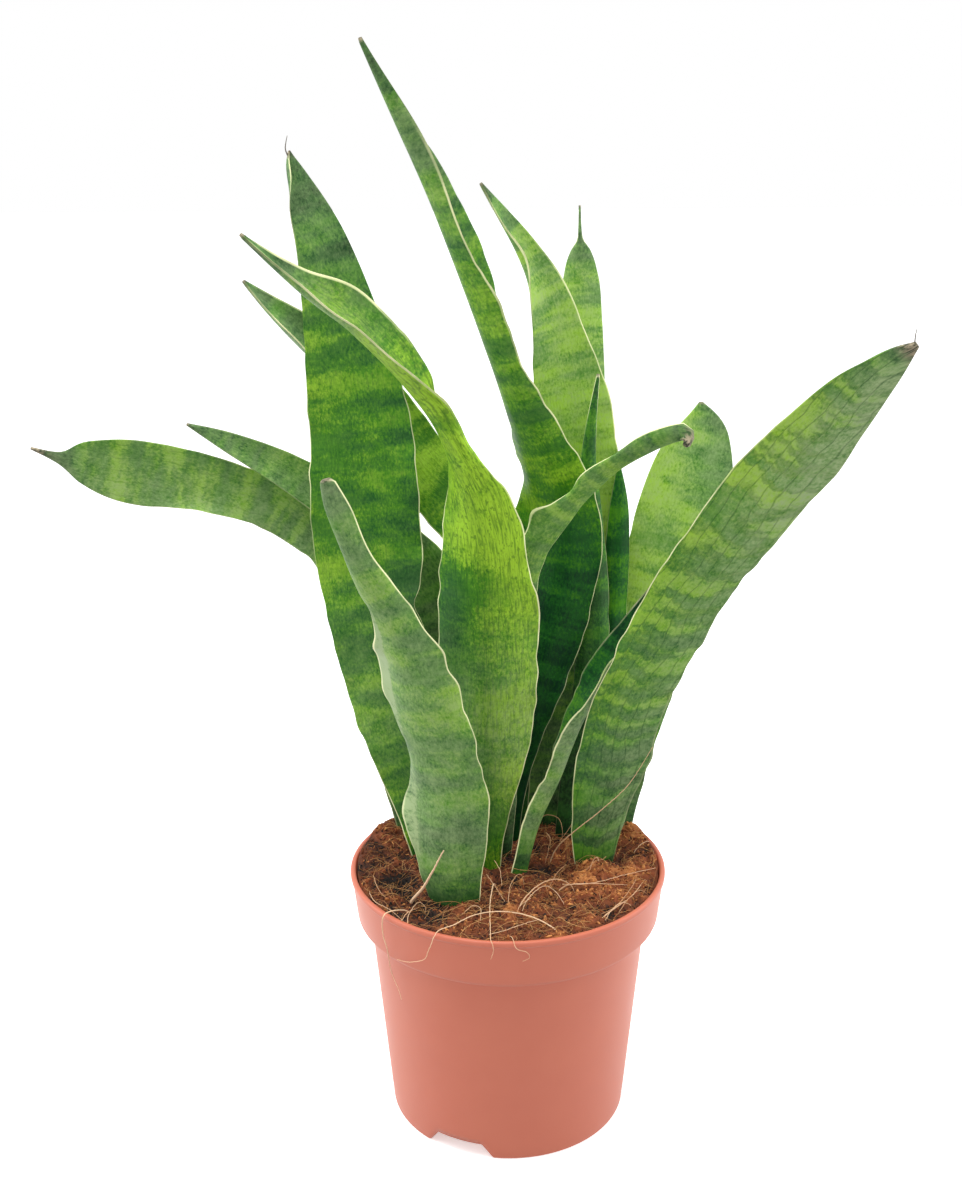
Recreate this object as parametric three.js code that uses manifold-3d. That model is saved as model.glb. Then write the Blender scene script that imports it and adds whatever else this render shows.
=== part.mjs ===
// Potted snake plant: fifteen leaves standing in a mound of coir in a 12 cm plastic nursery pot.
// Millimetres, +Z up. The pot's axis is the Z axis while the plant is built. At the end the whole
// plant is slid sideways, so that the origin lies on the floor under the middle of its box.

import * as THREE from 'three';
import { mergeVertices } from 'three/addons/utils/BufferGeometryUtils.js';
import Module from 'manifold-3d';

const wasm = await Module();
wasm.setup();

// Pot: a thin moulded wall that flares upward, a rim band with a raised lip and a notched foot ring.
const POT_HEIGHT = 100;
const RIM_RADIUS = 60;
const LIP_THICKNESS = 2.2;
const LIP_HEIGHT = 2.6;
const LIP_STEP = 0.7;
const LIP_ROUND = 1.1;
const BAND_LOW_RADIUS = 57;
const BAND_LOW_Z = 82.5;
const WALL_TOP_RADIUS = 52.8;
const WALL_TOP_Z = 79.5;
const FOOT_RADIUS = 45.5;
const FOOT_RING = 2.2;
const FOOT_ROUND = 0.8;
const WALL = 1.3;
const STEP_RISE = 1;
const FLOOR_Z = 6;
const FLOOR_THICKNESS = 1.4;
const FLOOR_RADIUS = 44.7;
const POT_SIDES = 52;
const ROUND_STEPS = 3;

// Drainage: three notches in the foot ring and a circle of holes in the floor.
const NOTCH_ANGLES = [-25, 95, 215];
const NOTCH_HEIGHT = 5.8;
const NOTCH_FOOT_WIDTH = 27;
const NOTCH_TOP_WIDTH = 18;
const NOTCH_DEPTH = 14;
const DRAIN_HOLES = 6;
const DRAIN_RADIUS = 4.5;
const DRAIN_RING_RADIUS = 32;
const DRAIN_SIDES = 16;

// Soil: one moist plug of coir whose top is a low lumpy mound below the rim.
const SOIL_RADIUS = 56.2;
const SOIL_EDGE_Z = 93;
const SOIL_MOUND = 4.5;
const SOIL_BACK_RISE = 1.5;
const LUMP_HEIGHT = 0.7;
const CRUMB_HEIGHT = 0.5;
const SOIL_SIDES = 44;
const SOIL_RINGS = 12;

// Leaf section: thick along the midrib, thin at the margins.
const FOOT_THICKNESS = 2.6;
const TOP_THICKNESS = 1.7;
const EDGE_THICKNESS = 0.8;
const LEAST_HALF_WIDTH = 0.5;
const FULL_WAVE_HALF_WIDTH = 8;
const WAVES_END = 0.87;
const LEFT_MARGIN_TURN = 1.3;

// Roots: thin round strands.
const ROOT_RADIUS = 0.55;
const ROOT_SIDES = 5;
const ROOT_STEP = 4.5;

// Clearance between pieces that touch on the real plant, and the steps of the leaf meshes.
const GAP = 0.3;
const LEAF_STEP = 12;
const LEAF_COLUMNS = 6;
const SAMPLES = 16;

// Each leaf is a run of stations from the foot, buried in the soil, to the tip:
// [x, y, z of the midrib, half width, facing, channel depth as a share of the half width].
// Facing is the compass heading of the inner face: 0 is the front (-Y), 90 the right (+X).
// wave is the height of the margins' waves, pitch their length and phase their start in turns.
const LEAVES = {
  leaf_front: {
    wave: 1.6, pitch: 52, phase: 0.1,
    stations: [
      [-19, -25, 82, 6.5, 165, 0.30],
      [-22, -28, 110, 12.5, 165, 0.30],
      [-23.5, -32, 147, 15.5, 160, 0.28],
      [-31, -38, 181, 14.5, 152, 0.30],
      [-39.5, -43, 209, 11.5, 134, 0.35],
      [-49.5, -47, 233, 9, 118, 0.40],
      [-58, -50, 253, 7, 112, 0.35],
      [-61, -51, 261, 2.5, 112, 0.20],
    ],
  },
  leaf_centre: {
    wave: 1.5, pitch: 44, phase: 0.35,
    stations: [
      [-7, 3, 82, 3.5, 150, 0.60],
      [-8, 1, 112, 6.5, 160, 0.45],
      [-7, -5, 160, 16.5, 170, 0.22],
      [-8, -10, 208, 17.6, 170, 0.20],
      [-10.5, -13, 238, 14.3, 150, 0.28],
      [-20, -16, 265, 10.5, 118, 0.50],
      [-33, -19, 286, 9.2, 92, 0.75],
      [-52, -26, 309, 8, 78, 0.85],
      [-68, -33, 323, 4.0, 76, 0.75],
      [-83, -40, 338, 0.6, 76, 0.30],
    ],
  },
  leaf_tall_left: {
    wave: 1.4, pitch: 46, phase: 0.6,
    stations: [
      [-27, 13, 82, 6.5, 12, 0.25],
      [-32, 13, 112, 9.5, 10, 0.20],
      [-43.5, 14, 160, 15, 5, 0.12],
      [-51, 16, 212, 19.5, 0, 0.10],
      [-52, 18, 253, 19.5, 0, 0.10],
      [-56, 20, 288, 16, 0, 0.10],
      [-64, 23, 328, 9.2, 12, 0.12],
      [-73, 25, 352, 3.6, 30, 0.20],
      [-76, 26, 364, 0.6, 30, 0.10],
    ],
  },
  leaf_upper_left: {
    wave: 1.3, pitch: 48, phase: 0.2,
    stations: [
      [3, 34, 82, 5.5, 5, 0.30],
      [0, 35, 125, 9.5, 5, 0.20],
      [-5, 37, 185, 14, 8, 0.12],
      [-13, 37, 218, 15, 15, 0.15],
      [-31, 36, 245, 13, 22, 0.20],
      [-53, 34, 275, 10, 35, 0.35],
      [-73, 30, 298, 5.4, 50, 0.60],
      [-93, 24, 317, 0.6, 52, 0.30],
    ],
  },
  leaf_long_left: {
    wave: 1.2, pitch: 55, phase: 0.7,
    stations: [
      [-34, 29, 82, 4.5, 30, 0.30],
      [-40, 34, 115, 7.5, 28, 0.25],
      [-47, 42, 160, 10.5, 20, 0.18],
      [-60, 47, 203, 10, 15, 0.15],
      [-84, 46, 226, 9.8, 15, 0.15],
      [-112, 40, 238, 11.5, 15, 0.12],
      [-139, 31, 246, 12.5, 10, 0.10],
      [-154.5, 24, 252, 8, 10, 0.12],
      [-163, 20, 255, 1.4, 10, 0.10],
      [-172, 16, 259, 0.6, 10, 0.10],
    ],
  },
  leaf_short_left: {
    wave: 1.2, pitch: 42, phase: 0.45,
    stations: [
      [-15, 38, 82, 5, 15, 0.30],
      [-16, 42, 120, 9, 12, 0.20],
      [-22, 47, 170, 13, 10, 0.15],
      [-34, 48, 203, 13.5, 15, 0.15],
      [-60, 46, 227, 9, 25, 0.20],
      [-84, 43, 244, 5.8, 35, 0.30],
      [-104, 38, 256, 3, 40, 0.30],
      [-117, 34, 263, 0.6, 40, 0.20],
    ],
  },
  leaf_tallest: {
    wave: 1.2, pitch: 50, phase: 0.15,
    stations: [
      [-2, 25, 82, 5.5, 165, 0.35],
      [0, 24, 125, 8.5, 162, 0.30],
      [10, 24, 170, 13.5, 158, 0.28],
      [19, 22, 210, 15.5, 152, 0.30],
      [16, 18, 240, 16, 142, 0.38],
      [3, 12, 272, 12.2, 118, 0.55],
      [-8.5, 6, 305, 10.5, 95, 0.72],
      [-21.5, -3, 340, 7.6, 84, 0.75],
      [-34, -13, 370, 4, 78, 0.60],
      [-46, -22, 396, 0.6, 74, 0.30],
    ],
  },
  leaf_curling: {
    wave: 1.3, pitch: 30, phase: 0.5,
    stations: [
      [-3, 14, 82, 3.5, 175, 0.35],
      [-1, 12, 125, 5, 178, 0.30],
      [2, 9, 185, 6, 182, 0.20],
      [8, 4, 219, 5.5, 190, 0.20],
      [20, 0, 238, 4.5, 200, 0.20],
      [34, -7, 253, 4, 205, 0.20],
      [48, -16, 265, 3.2, 205, 0.25],
      [59, -23, 270, 1.8, 205, 0.20],
    ],
  },
  leaf_bright: {
    wave: 1.2, pitch: 48, phase: 0.8,
    stations: [
      [14, 35, 82, 5.5, -5, 0.30],
      [18, 38, 125, 9, -2, 0.20],
      [26, 42, 185, 14, 0, 0.12],
      [28, 44, 232, 15, 2, 0.12],
      [24, 43, 270, 13.5, 8, 0.15],
      [17, 40, 303, 7.5, 25, 0.30],
      [7, 36, 328, 4, 45, 0.50],
      [-8, 31, 349, 0.6, 50, 0.30],
    ],
  },
  leaf_back: {
    wave: 0.7, pitch: 50, phase: 0.3,
    stations: [
      [20, 43, 82, 4, 180, 0.25],
      [22, 46, 105, 5, 180, 0.25],
      [25, 54, 140, 7.5, 180, 0.20],
      [30, 61, 195, 8.8, 180, 0.20],
      [31, 66, 260, 8.8, 180, 0.20],
      [30, 70, 303, 7.4, 180, 0.20],
      [30, 71, 318, 4.6, 180, 0.20],
      [29.5, 71, 328, 1.2, 180, 0.10],
      [29, 71, 339, 0.6, 180, 0.10],
    ],
  },
  leaf_spear: {
    wave: 0.6, pitch: 40, phase: 0.1,
    stations: [
      [22, 25, 82, 3.2, 190, 0.40],
      [26, 25, 122, 4.6, 188, 0.40],
      [33.5, 27, 177, 5.8, 182, 0.40],
      [33, 30, 220, 4.5, 180, 0.45],
      [31, 31, 251, 2.8, 180, 0.40],
      [34, 31, 282, 0.6, 180, 0.20],
    ],
  },
  leaf_narrow_right: {
    wave: 0.8, pitch: 45, phase: 0.55,
    stations: [
      [33, 25.5, 82, 3, 200, 0.35],
      [36.8, 29.2, 125, 4.2, 200, 0.30],
      [42, 34, 182, 5.2, 198, 0.30],
      [43, 36, 225, 4.2, 196, 0.30],
      [43, 38, 254, 0.6, 196, 0.20],
    ],
  },
  leaf_broad_right: {
    wave: 1.2, pitch: 50, phase: 0.25,
    stations: [
      [44, 23, 82, 4.6, -10, 0.30],
      [47, 29, 108, 6.5, -10, 0.25],
      [53, 39.5, 146, 10.5, -8, 0.15],
      [64, 47, 200, 17.5, -5, 0.10],
      [71, 53, 236, 17, -5, 0.10],
      [76, 57, 255, 10, -5, 0.10],
      [77, 59, 266, 1.2, -5, 0.10],
    ],
  },
  leaf_large_right: {
    wave: 1.3, pitch: 48, phase: 0.9,
    stations: [
      [34, 6, 82, 4.5, -10, 0.25],
      [34, 3, 112, 9.4, -8, 0.20],
      [42, 0, 158, 12.8, -5, 0.15],
      [62.5, -7, 205, 13.8, 0, 0.12],
      [83.5, -15, 238.5, 15, 5, 0.10],
      [106, -23, 271.5, 11.8, 5, 0.10],
      [121, -29, 293, 7.2, 5, 0.12],
      [132, -33, 300, 1, 5, 0.10],
    ],
  },
  leaf_small_front: {
    wave: 1.1, pitch: 36, phase: 0.3,
    stations: [
      [1, -1, 82, 3, 215, 0.40],
      [7, 1, 112, 4.5, 220, 0.40],
      [17, 3, 135, 6, 228, 0.40],
      [27, 5, 158, 7, 235, 0.45],
      [38, 8, 178, 7, 245, 0.45],
      [50, 10, 201, 4.8, 252, 0.40],
      [60, 10, 223, 0.6, 255, 0.20],
    ],
  },
};

// Roots that lie on the soil, stand out of it or hang over the rim: each is a smooth strand through
// these points, and starts in the soil.
const ROOTS = {
  root_spike: [
    [-37, -23, 88], [-36, -24, 96], [-31.5, -27, 103.5], [-27.5, -30.5, 112.5], [-23.5, -33.5, 122],
  ],
  root_over_rim: [
    [21, -52, 92], [18, -51, 98], [9, -43, 100], [-2, -40, 101], [-12, -42, 101],
    [-20, -50, 101.5], [-25.5, -55.2, 101.8], [-28.5, -55.5, 95], [-30.5, -52, 89],
    [-36, -48, 85.6], [-40.5, -44.3, 84.4],
  ],
  root_hanging: [
    [-34, -31, 91], [-37, -34, 98], [-42.3, -39.8, 101.4], [-45.2, -42, 100.2], [-45.5, -41, 93],
    [-44, -41, 86], [-43.4, -33.5, 73], [-40.8, -36, 67], [-39.7, -36.5, 63],
  ],
  root_front: [
    [-4, -11, 92], [-5.5, -15, 98.5], [-7, -32, 99], [-7, -49, 99.5], [-7, -58.8, 101.4],
    [-6, -61.6, 98.5], [-7, -61.4, 94.5],
  ],
  root_arch: [[2, -35, 92], [4, -31, 98.5], [10, -24, 102], [17, -19, 102.5], [23, -19, 100], [26, -20, 93]],
  root_low_right: [[15, -18, 92], [21, -18, 99], [31, -17, 99.5], [40, -16.5, 98.8], [46.5, -15.5, 98]],
  root_edge_right: [[28, -47, 90], [32, -42, 98], [45, -25, 98.5], [52, -10, 97.5], [53, -5, 91]],
  root_leaning: [
    [15.5, 6, 88], [17, 5.5, 98], [20, 3, 105.5], [26, -2.5, 114.5], [35, -6.5, 124.5],
    [45, -9, 136.5], [53, -11, 152],
  ],
};

function toSolid(geometry) {
  const bare = geometry.clone();
  bare.deleteAttribute('normal');
  bare.deleteAttribute('uv');
  const merged = mergeVertices(bare, 1e-4);
  return new wasm.Manifold(new wasm.Mesh({
    numProp: 3,
    vertProperties: new Float32Array(merged.attributes.position.array),
    triVerts: new Uint32Array(merged.index.array),
  }));
}

function toGeometry(solid) {
  const mesh = solid.getMesh();
  return closedGeometry(mesh.vertProperties, Array.from(mesh.triVerts));
}

function closedGeometry(positions, faces) {
  const geometry = new THREE.BufferGeometry();
  geometry.setAttribute('position', new THREE.Float32BufferAttribute(positions, 3));
  geometry.setIndex(faces);
  geometry.computeVertexNormals();
  return geometry;
}

// A cubic blend from b to c whose slopes at both ends follow the values around them.
function cubic(a, b, c, d, share) {
  const slopeStart = (c - a) / 2;
  const slopeEnd = (d - b) / 2;
  const square = 3 * (c - b) - 2 * slopeStart - slopeEnd;
  const cube = 2 * (b - c) + slopeStart + slopeEnd;
  return b + share * (slopeStart + share * (square + share * cube));
}

// The stations read as one smooth curve, at any position from 0 to the number of the last one.
function stationAt(stations, position) {
  const last = stations.length - 1;
  const index = Math.min(Math.floor(position), last - 1);
  const before = stations[Math.max(index - 1, 0)];
  const after = stations[Math.min(index + 2, last)];
  return stations[index].map((value, i) =>
    cubic(before[i], value, stations[index + 1][i], after[i], position - index));
}

// Station positions spaced evenly along the midrib, about LEAF_STEP apart, and its length.
function evenPositions(stations) {
  const samples = SAMPLES * (stations.length - 1);
  const walked = [0];
  let previous = new THREE.Vector3(...stations[0]);
  for (let i = 1; i <= samples; i += 1) {
    const point = new THREE.Vector3(...stationAt(stations, i / SAMPLES));
    walked.push(walked[i - 1] + point.distanceTo(previous));
    previous = point;
  }
  const length = walked[samples];
  const rows = Math.ceil(length / LEAF_STEP);
  const positions = [];
  for (let row = 0, i = 0; row <= rows; row += 1) {
    const target = (length * row) / rows;
    while (i < samples - 1 && walked[i + 1] < target) {
      i += 1;
    }
    positions.push((i + (target - walked[i]) / (walked[i + 1] - walked[i])) / SAMPLES);
  }
  return { positions, length };
}

// The directions at a place on a leaf: along the midrib, out of the inner face and across the blade.
function leafDirections(stations, position, facing) {
  const ahead = stationAt(stations, Math.min(position + 0.01, stations.length - 1));
  const behind = stationAt(stations, Math.max(position - 0.01, 0));
  const along = new THREE.Vector3(...ahead).sub(new THREE.Vector3(...behind)).normalize();
  const heading = THREE.MathUtils.degToRad(facing);
  const inner = new THREE.Vector3(Math.sin(heading), -Math.cos(heading), 0);
  inner.addScaledVector(along, -inner.dot(along)).normalize();
  return { inner, across: new THREE.Vector3().crossVectors(along, inner) };
}

// One closed ring of a blade: a channelled section with waved margins, both faces alike.
// grow widens it all round, for the hole that it stands in.
function leafRing(leaf, position, share, length, grow) {
  const [x, y, z, halfWidth, facing, channel] = stationAt(leaf.stations, position);
  const { inner, across } = leafDirections(leaf.stations, position, facing);
  const middle = THREE.MathUtils.lerp(FOOT_THICKNESS, TOP_THICKNESS, share);
  const half = Math.max(halfWidth, LEAST_HALF_WIDTH) + grow;
  const fade = Math.sin(Math.PI * Math.min(1, share / WAVES_END));
  const swell = leaf.wave * fade * Math.min(1, half / FULL_WAVE_HALF_WIDTH);
  const swing = 2 * Math.PI * (share * length / leaf.pitch + leaf.phase);
  const innerFace = [];
  const outerFace = [];
  for (let column = 0; column <= LEAF_COLUMNS; column += 1) {
    const side = (2 * column) / LEAF_COLUMNS - 1;
    const turn = swing + (side < 0 ? LEFT_MARGIN_TURN : 0);
    const lift = channel * half * side ** 2 + swell * Math.abs(side) ** 3 * Math.sin(turn);
    const point = new THREE.Vector3(x, y, z)
      .addScaledVector(across, side * half)
      .addScaledVector(inner, lift);
    const normal = inner.clone().addScaledVector(across, -2 * channel * side).normalize();
    const thickness = EDGE_THICKNESS + (middle - EDGE_THICKNESS) * (1 - side ** 2) + 2 * grow;
    innerFace.push(point.clone().addScaledVector(normal, thickness / 2));
    outerFace.unshift(point.clone().addScaledVector(normal, -thickness / 2));
  }
  return [...innerFace, ...outerFace];
}

// One leaf blade, from its foot in the soil to its tip.
function leafGeometry(leaf, grow = 0) {
  const { positions, length } = evenPositions(leaf.stations);
  const rows = positions.length - 1;
  const ring = 2 * (LEAF_COLUMNS + 1);
  const points = positions.flatMap((position, row) => leafRing(leaf, position, row / rows, length, grow));
  const faces = [];
  for (let row = 0; row < rows; row += 1) {
    for (let i = 0; i < ring; i += 1) {
      const a = row * ring + i;
      const b = row * ring + ((i + 1) % ring);
      faces.push(...splitQuad(a, b, b + ring, a + ring, i < ring / 2));
    }
  }
  faces.push(...ringCap(0, false), ...ringCap(rows * ring, true));
  return closedGeometry(points.flatMap((point) => point.toArray()), faces);
}

// The diagonals on the two faces of a blade run the same way, so the faces never cross.
function splitQuad(a, b, c, d, onInnerFace) {
  return onInnerFace ? [a, b, c, a, c, d] : [a, b, d, b, c, d];
}

// The faces that close a blade's first or last ring.
function ringCap(start, atTip) {
  const ring = 2 * (LEAF_COLUMNS + 1);
  const faces = [];
  for (let column = 0; column < LEAF_COLUMNS; column += 1) {
    const a = start + column;
    const b = start + column + 1;
    const c = start + ring - 2 - column;
    const d = start + ring - 1 - column;
    faces.push(...(atTip ? [a, b, c, a, c, d] : [a, c, b, a, d, c]));
  }
  return faces;
}

// Half of the pot's section: up its inside, over the lip, down its outside and in under the floor.
function potOutline() {
  const lipInside = RIM_RADIUS - LIP_THICKNESS;
  const footInside = FOOT_RADIUS - FOOT_RING;
  const outline = new THREE.Path();
  outline.moveTo(0, FLOOR_Z + FLOOR_THICKNESS);
  outline.lineTo(FLOOR_RADIUS, FLOOR_Z + FLOOR_THICKNESS);
  outline.lineTo(WALL_TOP_RADIUS - WALL, WALL_TOP_Z + STEP_RISE);
  outline.lineTo(BAND_LOW_RADIUS - WALL, BAND_LOW_Z + STEP_RISE);
  outline.lineTo(lipInside, POT_HEIGHT - LIP_ROUND);
  outline.quadraticCurveTo(lipInside, POT_HEIGHT, RIM_RADIUS - LIP_ROUND, POT_HEIGHT);
  outline.quadraticCurveTo(RIM_RADIUS, POT_HEIGHT, RIM_RADIUS, POT_HEIGHT - LIP_ROUND);
  outline.lineTo(RIM_RADIUS, POT_HEIGHT - LIP_HEIGHT + LIP_STEP);
  outline.lineTo(RIM_RADIUS - LIP_STEP, POT_HEIGHT - LIP_HEIGHT);
  outline.lineTo(BAND_LOW_RADIUS, BAND_LOW_Z);
  outline.quadraticCurveTo(BAND_LOW_RADIUS, WALL_TOP_Z, WALL_TOP_RADIUS, WALL_TOP_Z);
  outline.lineTo(FOOT_RADIUS, FOOT_ROUND);
  outline.lineTo(FOOT_RADIUS - FOOT_ROUND, 0);
  outline.lineTo(footInside, 0);
  outline.lineTo(footInside, FLOOR_Z);
  outline.lineTo(0, FLOOR_Z);
  return outline.getPoints(ROUND_STEPS);
}

function potGeometry() {
  const shell = new THREE.LatheGeometry(potOutline().reverse(), POT_SIDES);
  shell.rotateX(Math.PI / 2);
  let pot = toSolid(shell);
  NOTCH_ANGLES.forEach((angle) => {
    pot = pot.subtract(toSolid(notchGeometry(angle)));
  });
  for (let i = 0; i < DRAIN_HOLES; i += 1) {
    pot = pot.subtract(toSolid(drainGeometry((2 * Math.PI * i) / DRAIN_HOLES)));
  }
  return toGeometry(pot);
}

// A notch in the foot ring, wider at the floor than at its top.
function notchGeometry(angle) {
  const outline = new THREE.Shape([
    new THREE.Vector2(-NOTCH_FOOT_WIDTH / 2, -1),
    new THREE.Vector2(NOTCH_FOOT_WIDTH / 2, -1),
    new THREE.Vector2(NOTCH_TOP_WIDTH / 2, NOTCH_HEIGHT),
    new THREE.Vector2(-NOTCH_TOP_WIDTH / 2, NOTCH_HEIGHT),
  ]);
  const notch = new THREE.ExtrudeGeometry(outline, { depth: NOTCH_DEPTH, bevelEnabled: false });
  notch.rotateX(Math.PI / 2);
  notch.translate(0, NOTCH_DEPTH - FOOT_RADIUS - FOOT_RING, 0);
  notch.rotateZ(THREE.MathUtils.degToRad(angle));
  return notch;
}

function drainGeometry(turn) {
  const drain = new THREE.CylinderGeometry(DRAIN_RADIUS, DRAIN_RADIUS, 4 * FLOOR_THICKNESS, DRAIN_SIDES);
  drain.rotateX(Math.PI / 2);
  drain.translate(DRAIN_RING_RADIUS * Math.cos(turn), DRAIN_RING_RADIUS * Math.sin(turn), FLOOR_Z);
  return drain;
}

// Height of the soil: a low mound, a little higher at the back, with lumps and crumbs of coir.
function soilHeight(x, y) {
  const mound = SOIL_MOUND * (1 - (Math.hypot(x, y) / SOIL_RADIUS) ** 2);
  const back = SOIL_BACK_RISE * THREE.MathUtils.smoothstep(y, 10, 45);
  const lumps = Math.sin(0.31 * x + 1.3) * Math.cos(0.27 * y - 0.4) + Math.sin(0.19 * x - 0.33 * y);
  const crumbs = Math.sin(0.83 * x + 0.9 * y) * Math.cos(0.71 * y - 0.62 * x + 1);
  return SOIL_EDGE_Z + mound + back + LUMP_HEIGHT * lumps + CRUMB_HEIGHT * crumbs;
}

// The rings of the soil's surface, from the pot's floor up its wall and in over the mound.
function soilRings() {
  const wall = [
    [FLOOR_RADIUS - 2 * GAP, FLOOR_Z + FLOOR_THICKNESS + GAP],
    [WALL_TOP_RADIUS - WALL - 2 * GAP, WALL_TOP_Z + STEP_RISE + GAP],
    [BAND_LOW_RADIUS - WALL - 3 * GAP, BAND_LOW_Z + STEP_RISE + GAP],
  ];
  const rings = wall.map(([radius, z]) => ({ radius, height: () => z }));
  for (let i = SOIL_RINGS; i >= 1; i -= 1) {
    rings.push({ radius: (SOIL_RADIUS * i) / SOIL_RINGS, height: soilHeight });
  }
  return rings;
}

function soilGeometry() {
  const rings = soilRings();
  const vertices = [0, 0, rings[0].height()];
  rings.forEach(({ radius, height }) => {
    for (let i = 0; i < SOIL_SIDES; i += 1) {
      const turn = (2 * Math.PI * i) / SOIL_SIDES;
      const x = radius * Math.cos(turn);
      const y = radius * Math.sin(turn);
      vertices.push(x, y, height(x, y));
    }
  });
  vertices.push(0, 0, soilHeight(0, 0));
  const crown = vertices.length / 3 - 1;
  const innermost = 1 + (rings.length - 1) * SOIL_SIDES;
  const faces = [];
  for (let i = 0; i < SOIL_SIDES; i += 1) {
    const next = (i + 1) % SOIL_SIDES;
    faces.push(0, 1 + next, 1 + i);
    for (let low = 1; low < innermost; low += SOIL_SIDES) {
      const high = low + SOIL_SIDES;
      faces.push(low + i, low + next, high + next, low + i, high + next, high + i);
    }
    faces.push(innermost + i, innermost + next, crown);
  }
  return closedGeometry(vertices, faces);
}

// The soil with a plain hole for the foot of every leaf and a channel for every root.
function holedSoilGeometry() {
  let soil = toSolid(soilGeometry());
  Object.values(LEAVES).forEach((leaf) => {
    const hole = { ...leaf, stations: deepened(leaf.stations) };
    soil = soil.subtract(toSolid(leafGeometry(hole, GAP)));
  });
  Object.values(ROOTS).forEach((points) => {
    soil = soil.subtract(toSolid(rootGeometry(deepened(points), ROOT_RADIUS + 1.5 * GAP)));
  });
  return toGeometry(soil);
}

// The same stations or points with the foot set a little lower.
function deepened(stations) {
  const [[x, y, z, ...others], ...rest] = stations;
  return [[x, y, z - 1.5 * GAP, ...others], ...rest];
}

function rootGeometry(points, radius = ROOT_RADIUS) {
  const route = new THREE.CatmullRomCurve3(points.map((point) => new THREE.Vector3(...point)));
  const corners = [];
  for (let i = 0; i < ROOT_SIDES; i += 1) {
    const turn = (2 * Math.PI * i) / ROOT_SIDES;
    corners.push(new THREE.Vector2(radius * Math.cos(turn), radius * Math.sin(turn)));
  }
  const steps = Math.ceil(route.getLength() / ROOT_STEP);
  return new THREE.ExtrudeGeometry(new THREE.Shape(corners), { steps, extrudePath: route });
}

function addMesh(group, name, geometry, color, roughness) {
  const material = new THREE.MeshStandardMaterial({ color, roughness, metalness: 0 });
  const mesh = new THREE.Mesh(geometry, material);
  mesh.name = name;
  group.add(mesh);
}

const plant = new THREE.Group();
addMesh(plant, 'pot', potGeometry(), 0xc57058, 0.45);
addMesh(plant, 'soil', holedSoilGeometry(), 0x8a4f2b, 0.95);
Object.entries(LEAVES).forEach(([name, leaf]) => {
  addMesh(plant, name, leafGeometry(leaf), 0x3e7a3a, 0.5);
});
Object.entries(ROOTS).forEach(([name, points]) => {
  addMesh(plant, name, rootGeometry(points), 0xc89a70, 0.8);
});

const middle = new THREE.Box3().setFromObject(plant).getCenter(new THREE.Vector3());
plant.position.set(-middle.x, -middle.y, 0);

export default plant;
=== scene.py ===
"""Potted snake plant: fine leaves, a moulded pot, loose coir and dry roots over the plant's solids.

Sizes are in millimetres from the pot's axis, as the plant was measured, and MM turns them to metres.
"""
import math
from functools import partial
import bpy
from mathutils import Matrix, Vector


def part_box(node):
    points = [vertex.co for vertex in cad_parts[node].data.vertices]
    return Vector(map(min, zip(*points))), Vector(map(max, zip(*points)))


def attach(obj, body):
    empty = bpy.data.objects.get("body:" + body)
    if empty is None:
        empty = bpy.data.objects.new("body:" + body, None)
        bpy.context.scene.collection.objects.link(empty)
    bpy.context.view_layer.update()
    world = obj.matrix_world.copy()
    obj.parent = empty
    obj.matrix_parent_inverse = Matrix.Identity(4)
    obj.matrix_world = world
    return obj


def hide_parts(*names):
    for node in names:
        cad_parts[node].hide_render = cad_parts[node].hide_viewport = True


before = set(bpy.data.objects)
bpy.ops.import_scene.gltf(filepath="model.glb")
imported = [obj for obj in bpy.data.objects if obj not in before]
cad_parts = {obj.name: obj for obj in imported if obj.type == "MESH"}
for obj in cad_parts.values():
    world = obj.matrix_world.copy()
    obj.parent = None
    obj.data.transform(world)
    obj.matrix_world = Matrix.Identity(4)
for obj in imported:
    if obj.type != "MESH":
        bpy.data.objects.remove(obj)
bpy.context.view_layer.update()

from types import SimpleNamespace

import bmesh
import bpy
import numpy as np
from mathutils import Matrix, Vector

MM = 0.001
POT_LOW, POT_HIGH = (np.array(corner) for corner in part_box("pot"))
POT_AXIS = np.array([*(POT_LOW + POT_HIGH)[:2] / 2, 0])

# ---- sizes

# Camera: 36 mm sensor, at the photograph's distance and tilt.
CAMERA_PLACE = (-9.5, -521.17, 372.1)
CAMERA_PITCH = 17.48
CAMERA_ROLL = -0.38
CAMERA_LENS = 45.84
CAMERA_SENSOR = 36

# Studio in metres: the lights in watts, and how much dimmer than white the sky is overhead, in front
# and below.
SKY_DIM = 0.08
FRONT_DIM = 0.12
BELOW_DIM = 0.6
SIDE_LIGHT = 4.1
TOP_LIGHT = 8.5
FLOOR_GLOW = 0.45
FLOOR_REACH = 6
LIGHT_TARGET = (0, 0, 0.2)

# Leaf blade section and mesh steps. NOSE is how far in from a margin its rounding has columns.
FOOT_THICKNESS = 2.6
TOP_THICKNESS = 1.7
EDGE_THICKNESS = 0.45
THICKNESS_TO_HALF_WIDTH = 2.4
LEAST_HALF_WIDTH = 0.25
LEAF_STEP = 1.5
LEAF_COLUMNS = 25
NOSE = (0.0, 0.06, 0.2, 0.42)
NARROWEST_NOSE = 0.7

# Leaf margins: where their waves grow and end, and the crimps, nicks and dimples of every blade.
FULL_WAVE_HALF_WIDTH = 8
WAVES_END = 0.87
LEFT_MARGIN_TURN = 1.3
CRIMP_HEIGHT = 0.8
CRIMP_LENGTH = 7.5
FINE_CRIMP_LENGTH = 3.4
NICK_DEPTH = 0.6
NICK_LENGTH = 6
DIMPLE_DEPTH = 0.22
DIMPLE_WIDTH = 5
DIMPLE_LENGTH = 14
CREAM_LENGTH = 5

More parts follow.
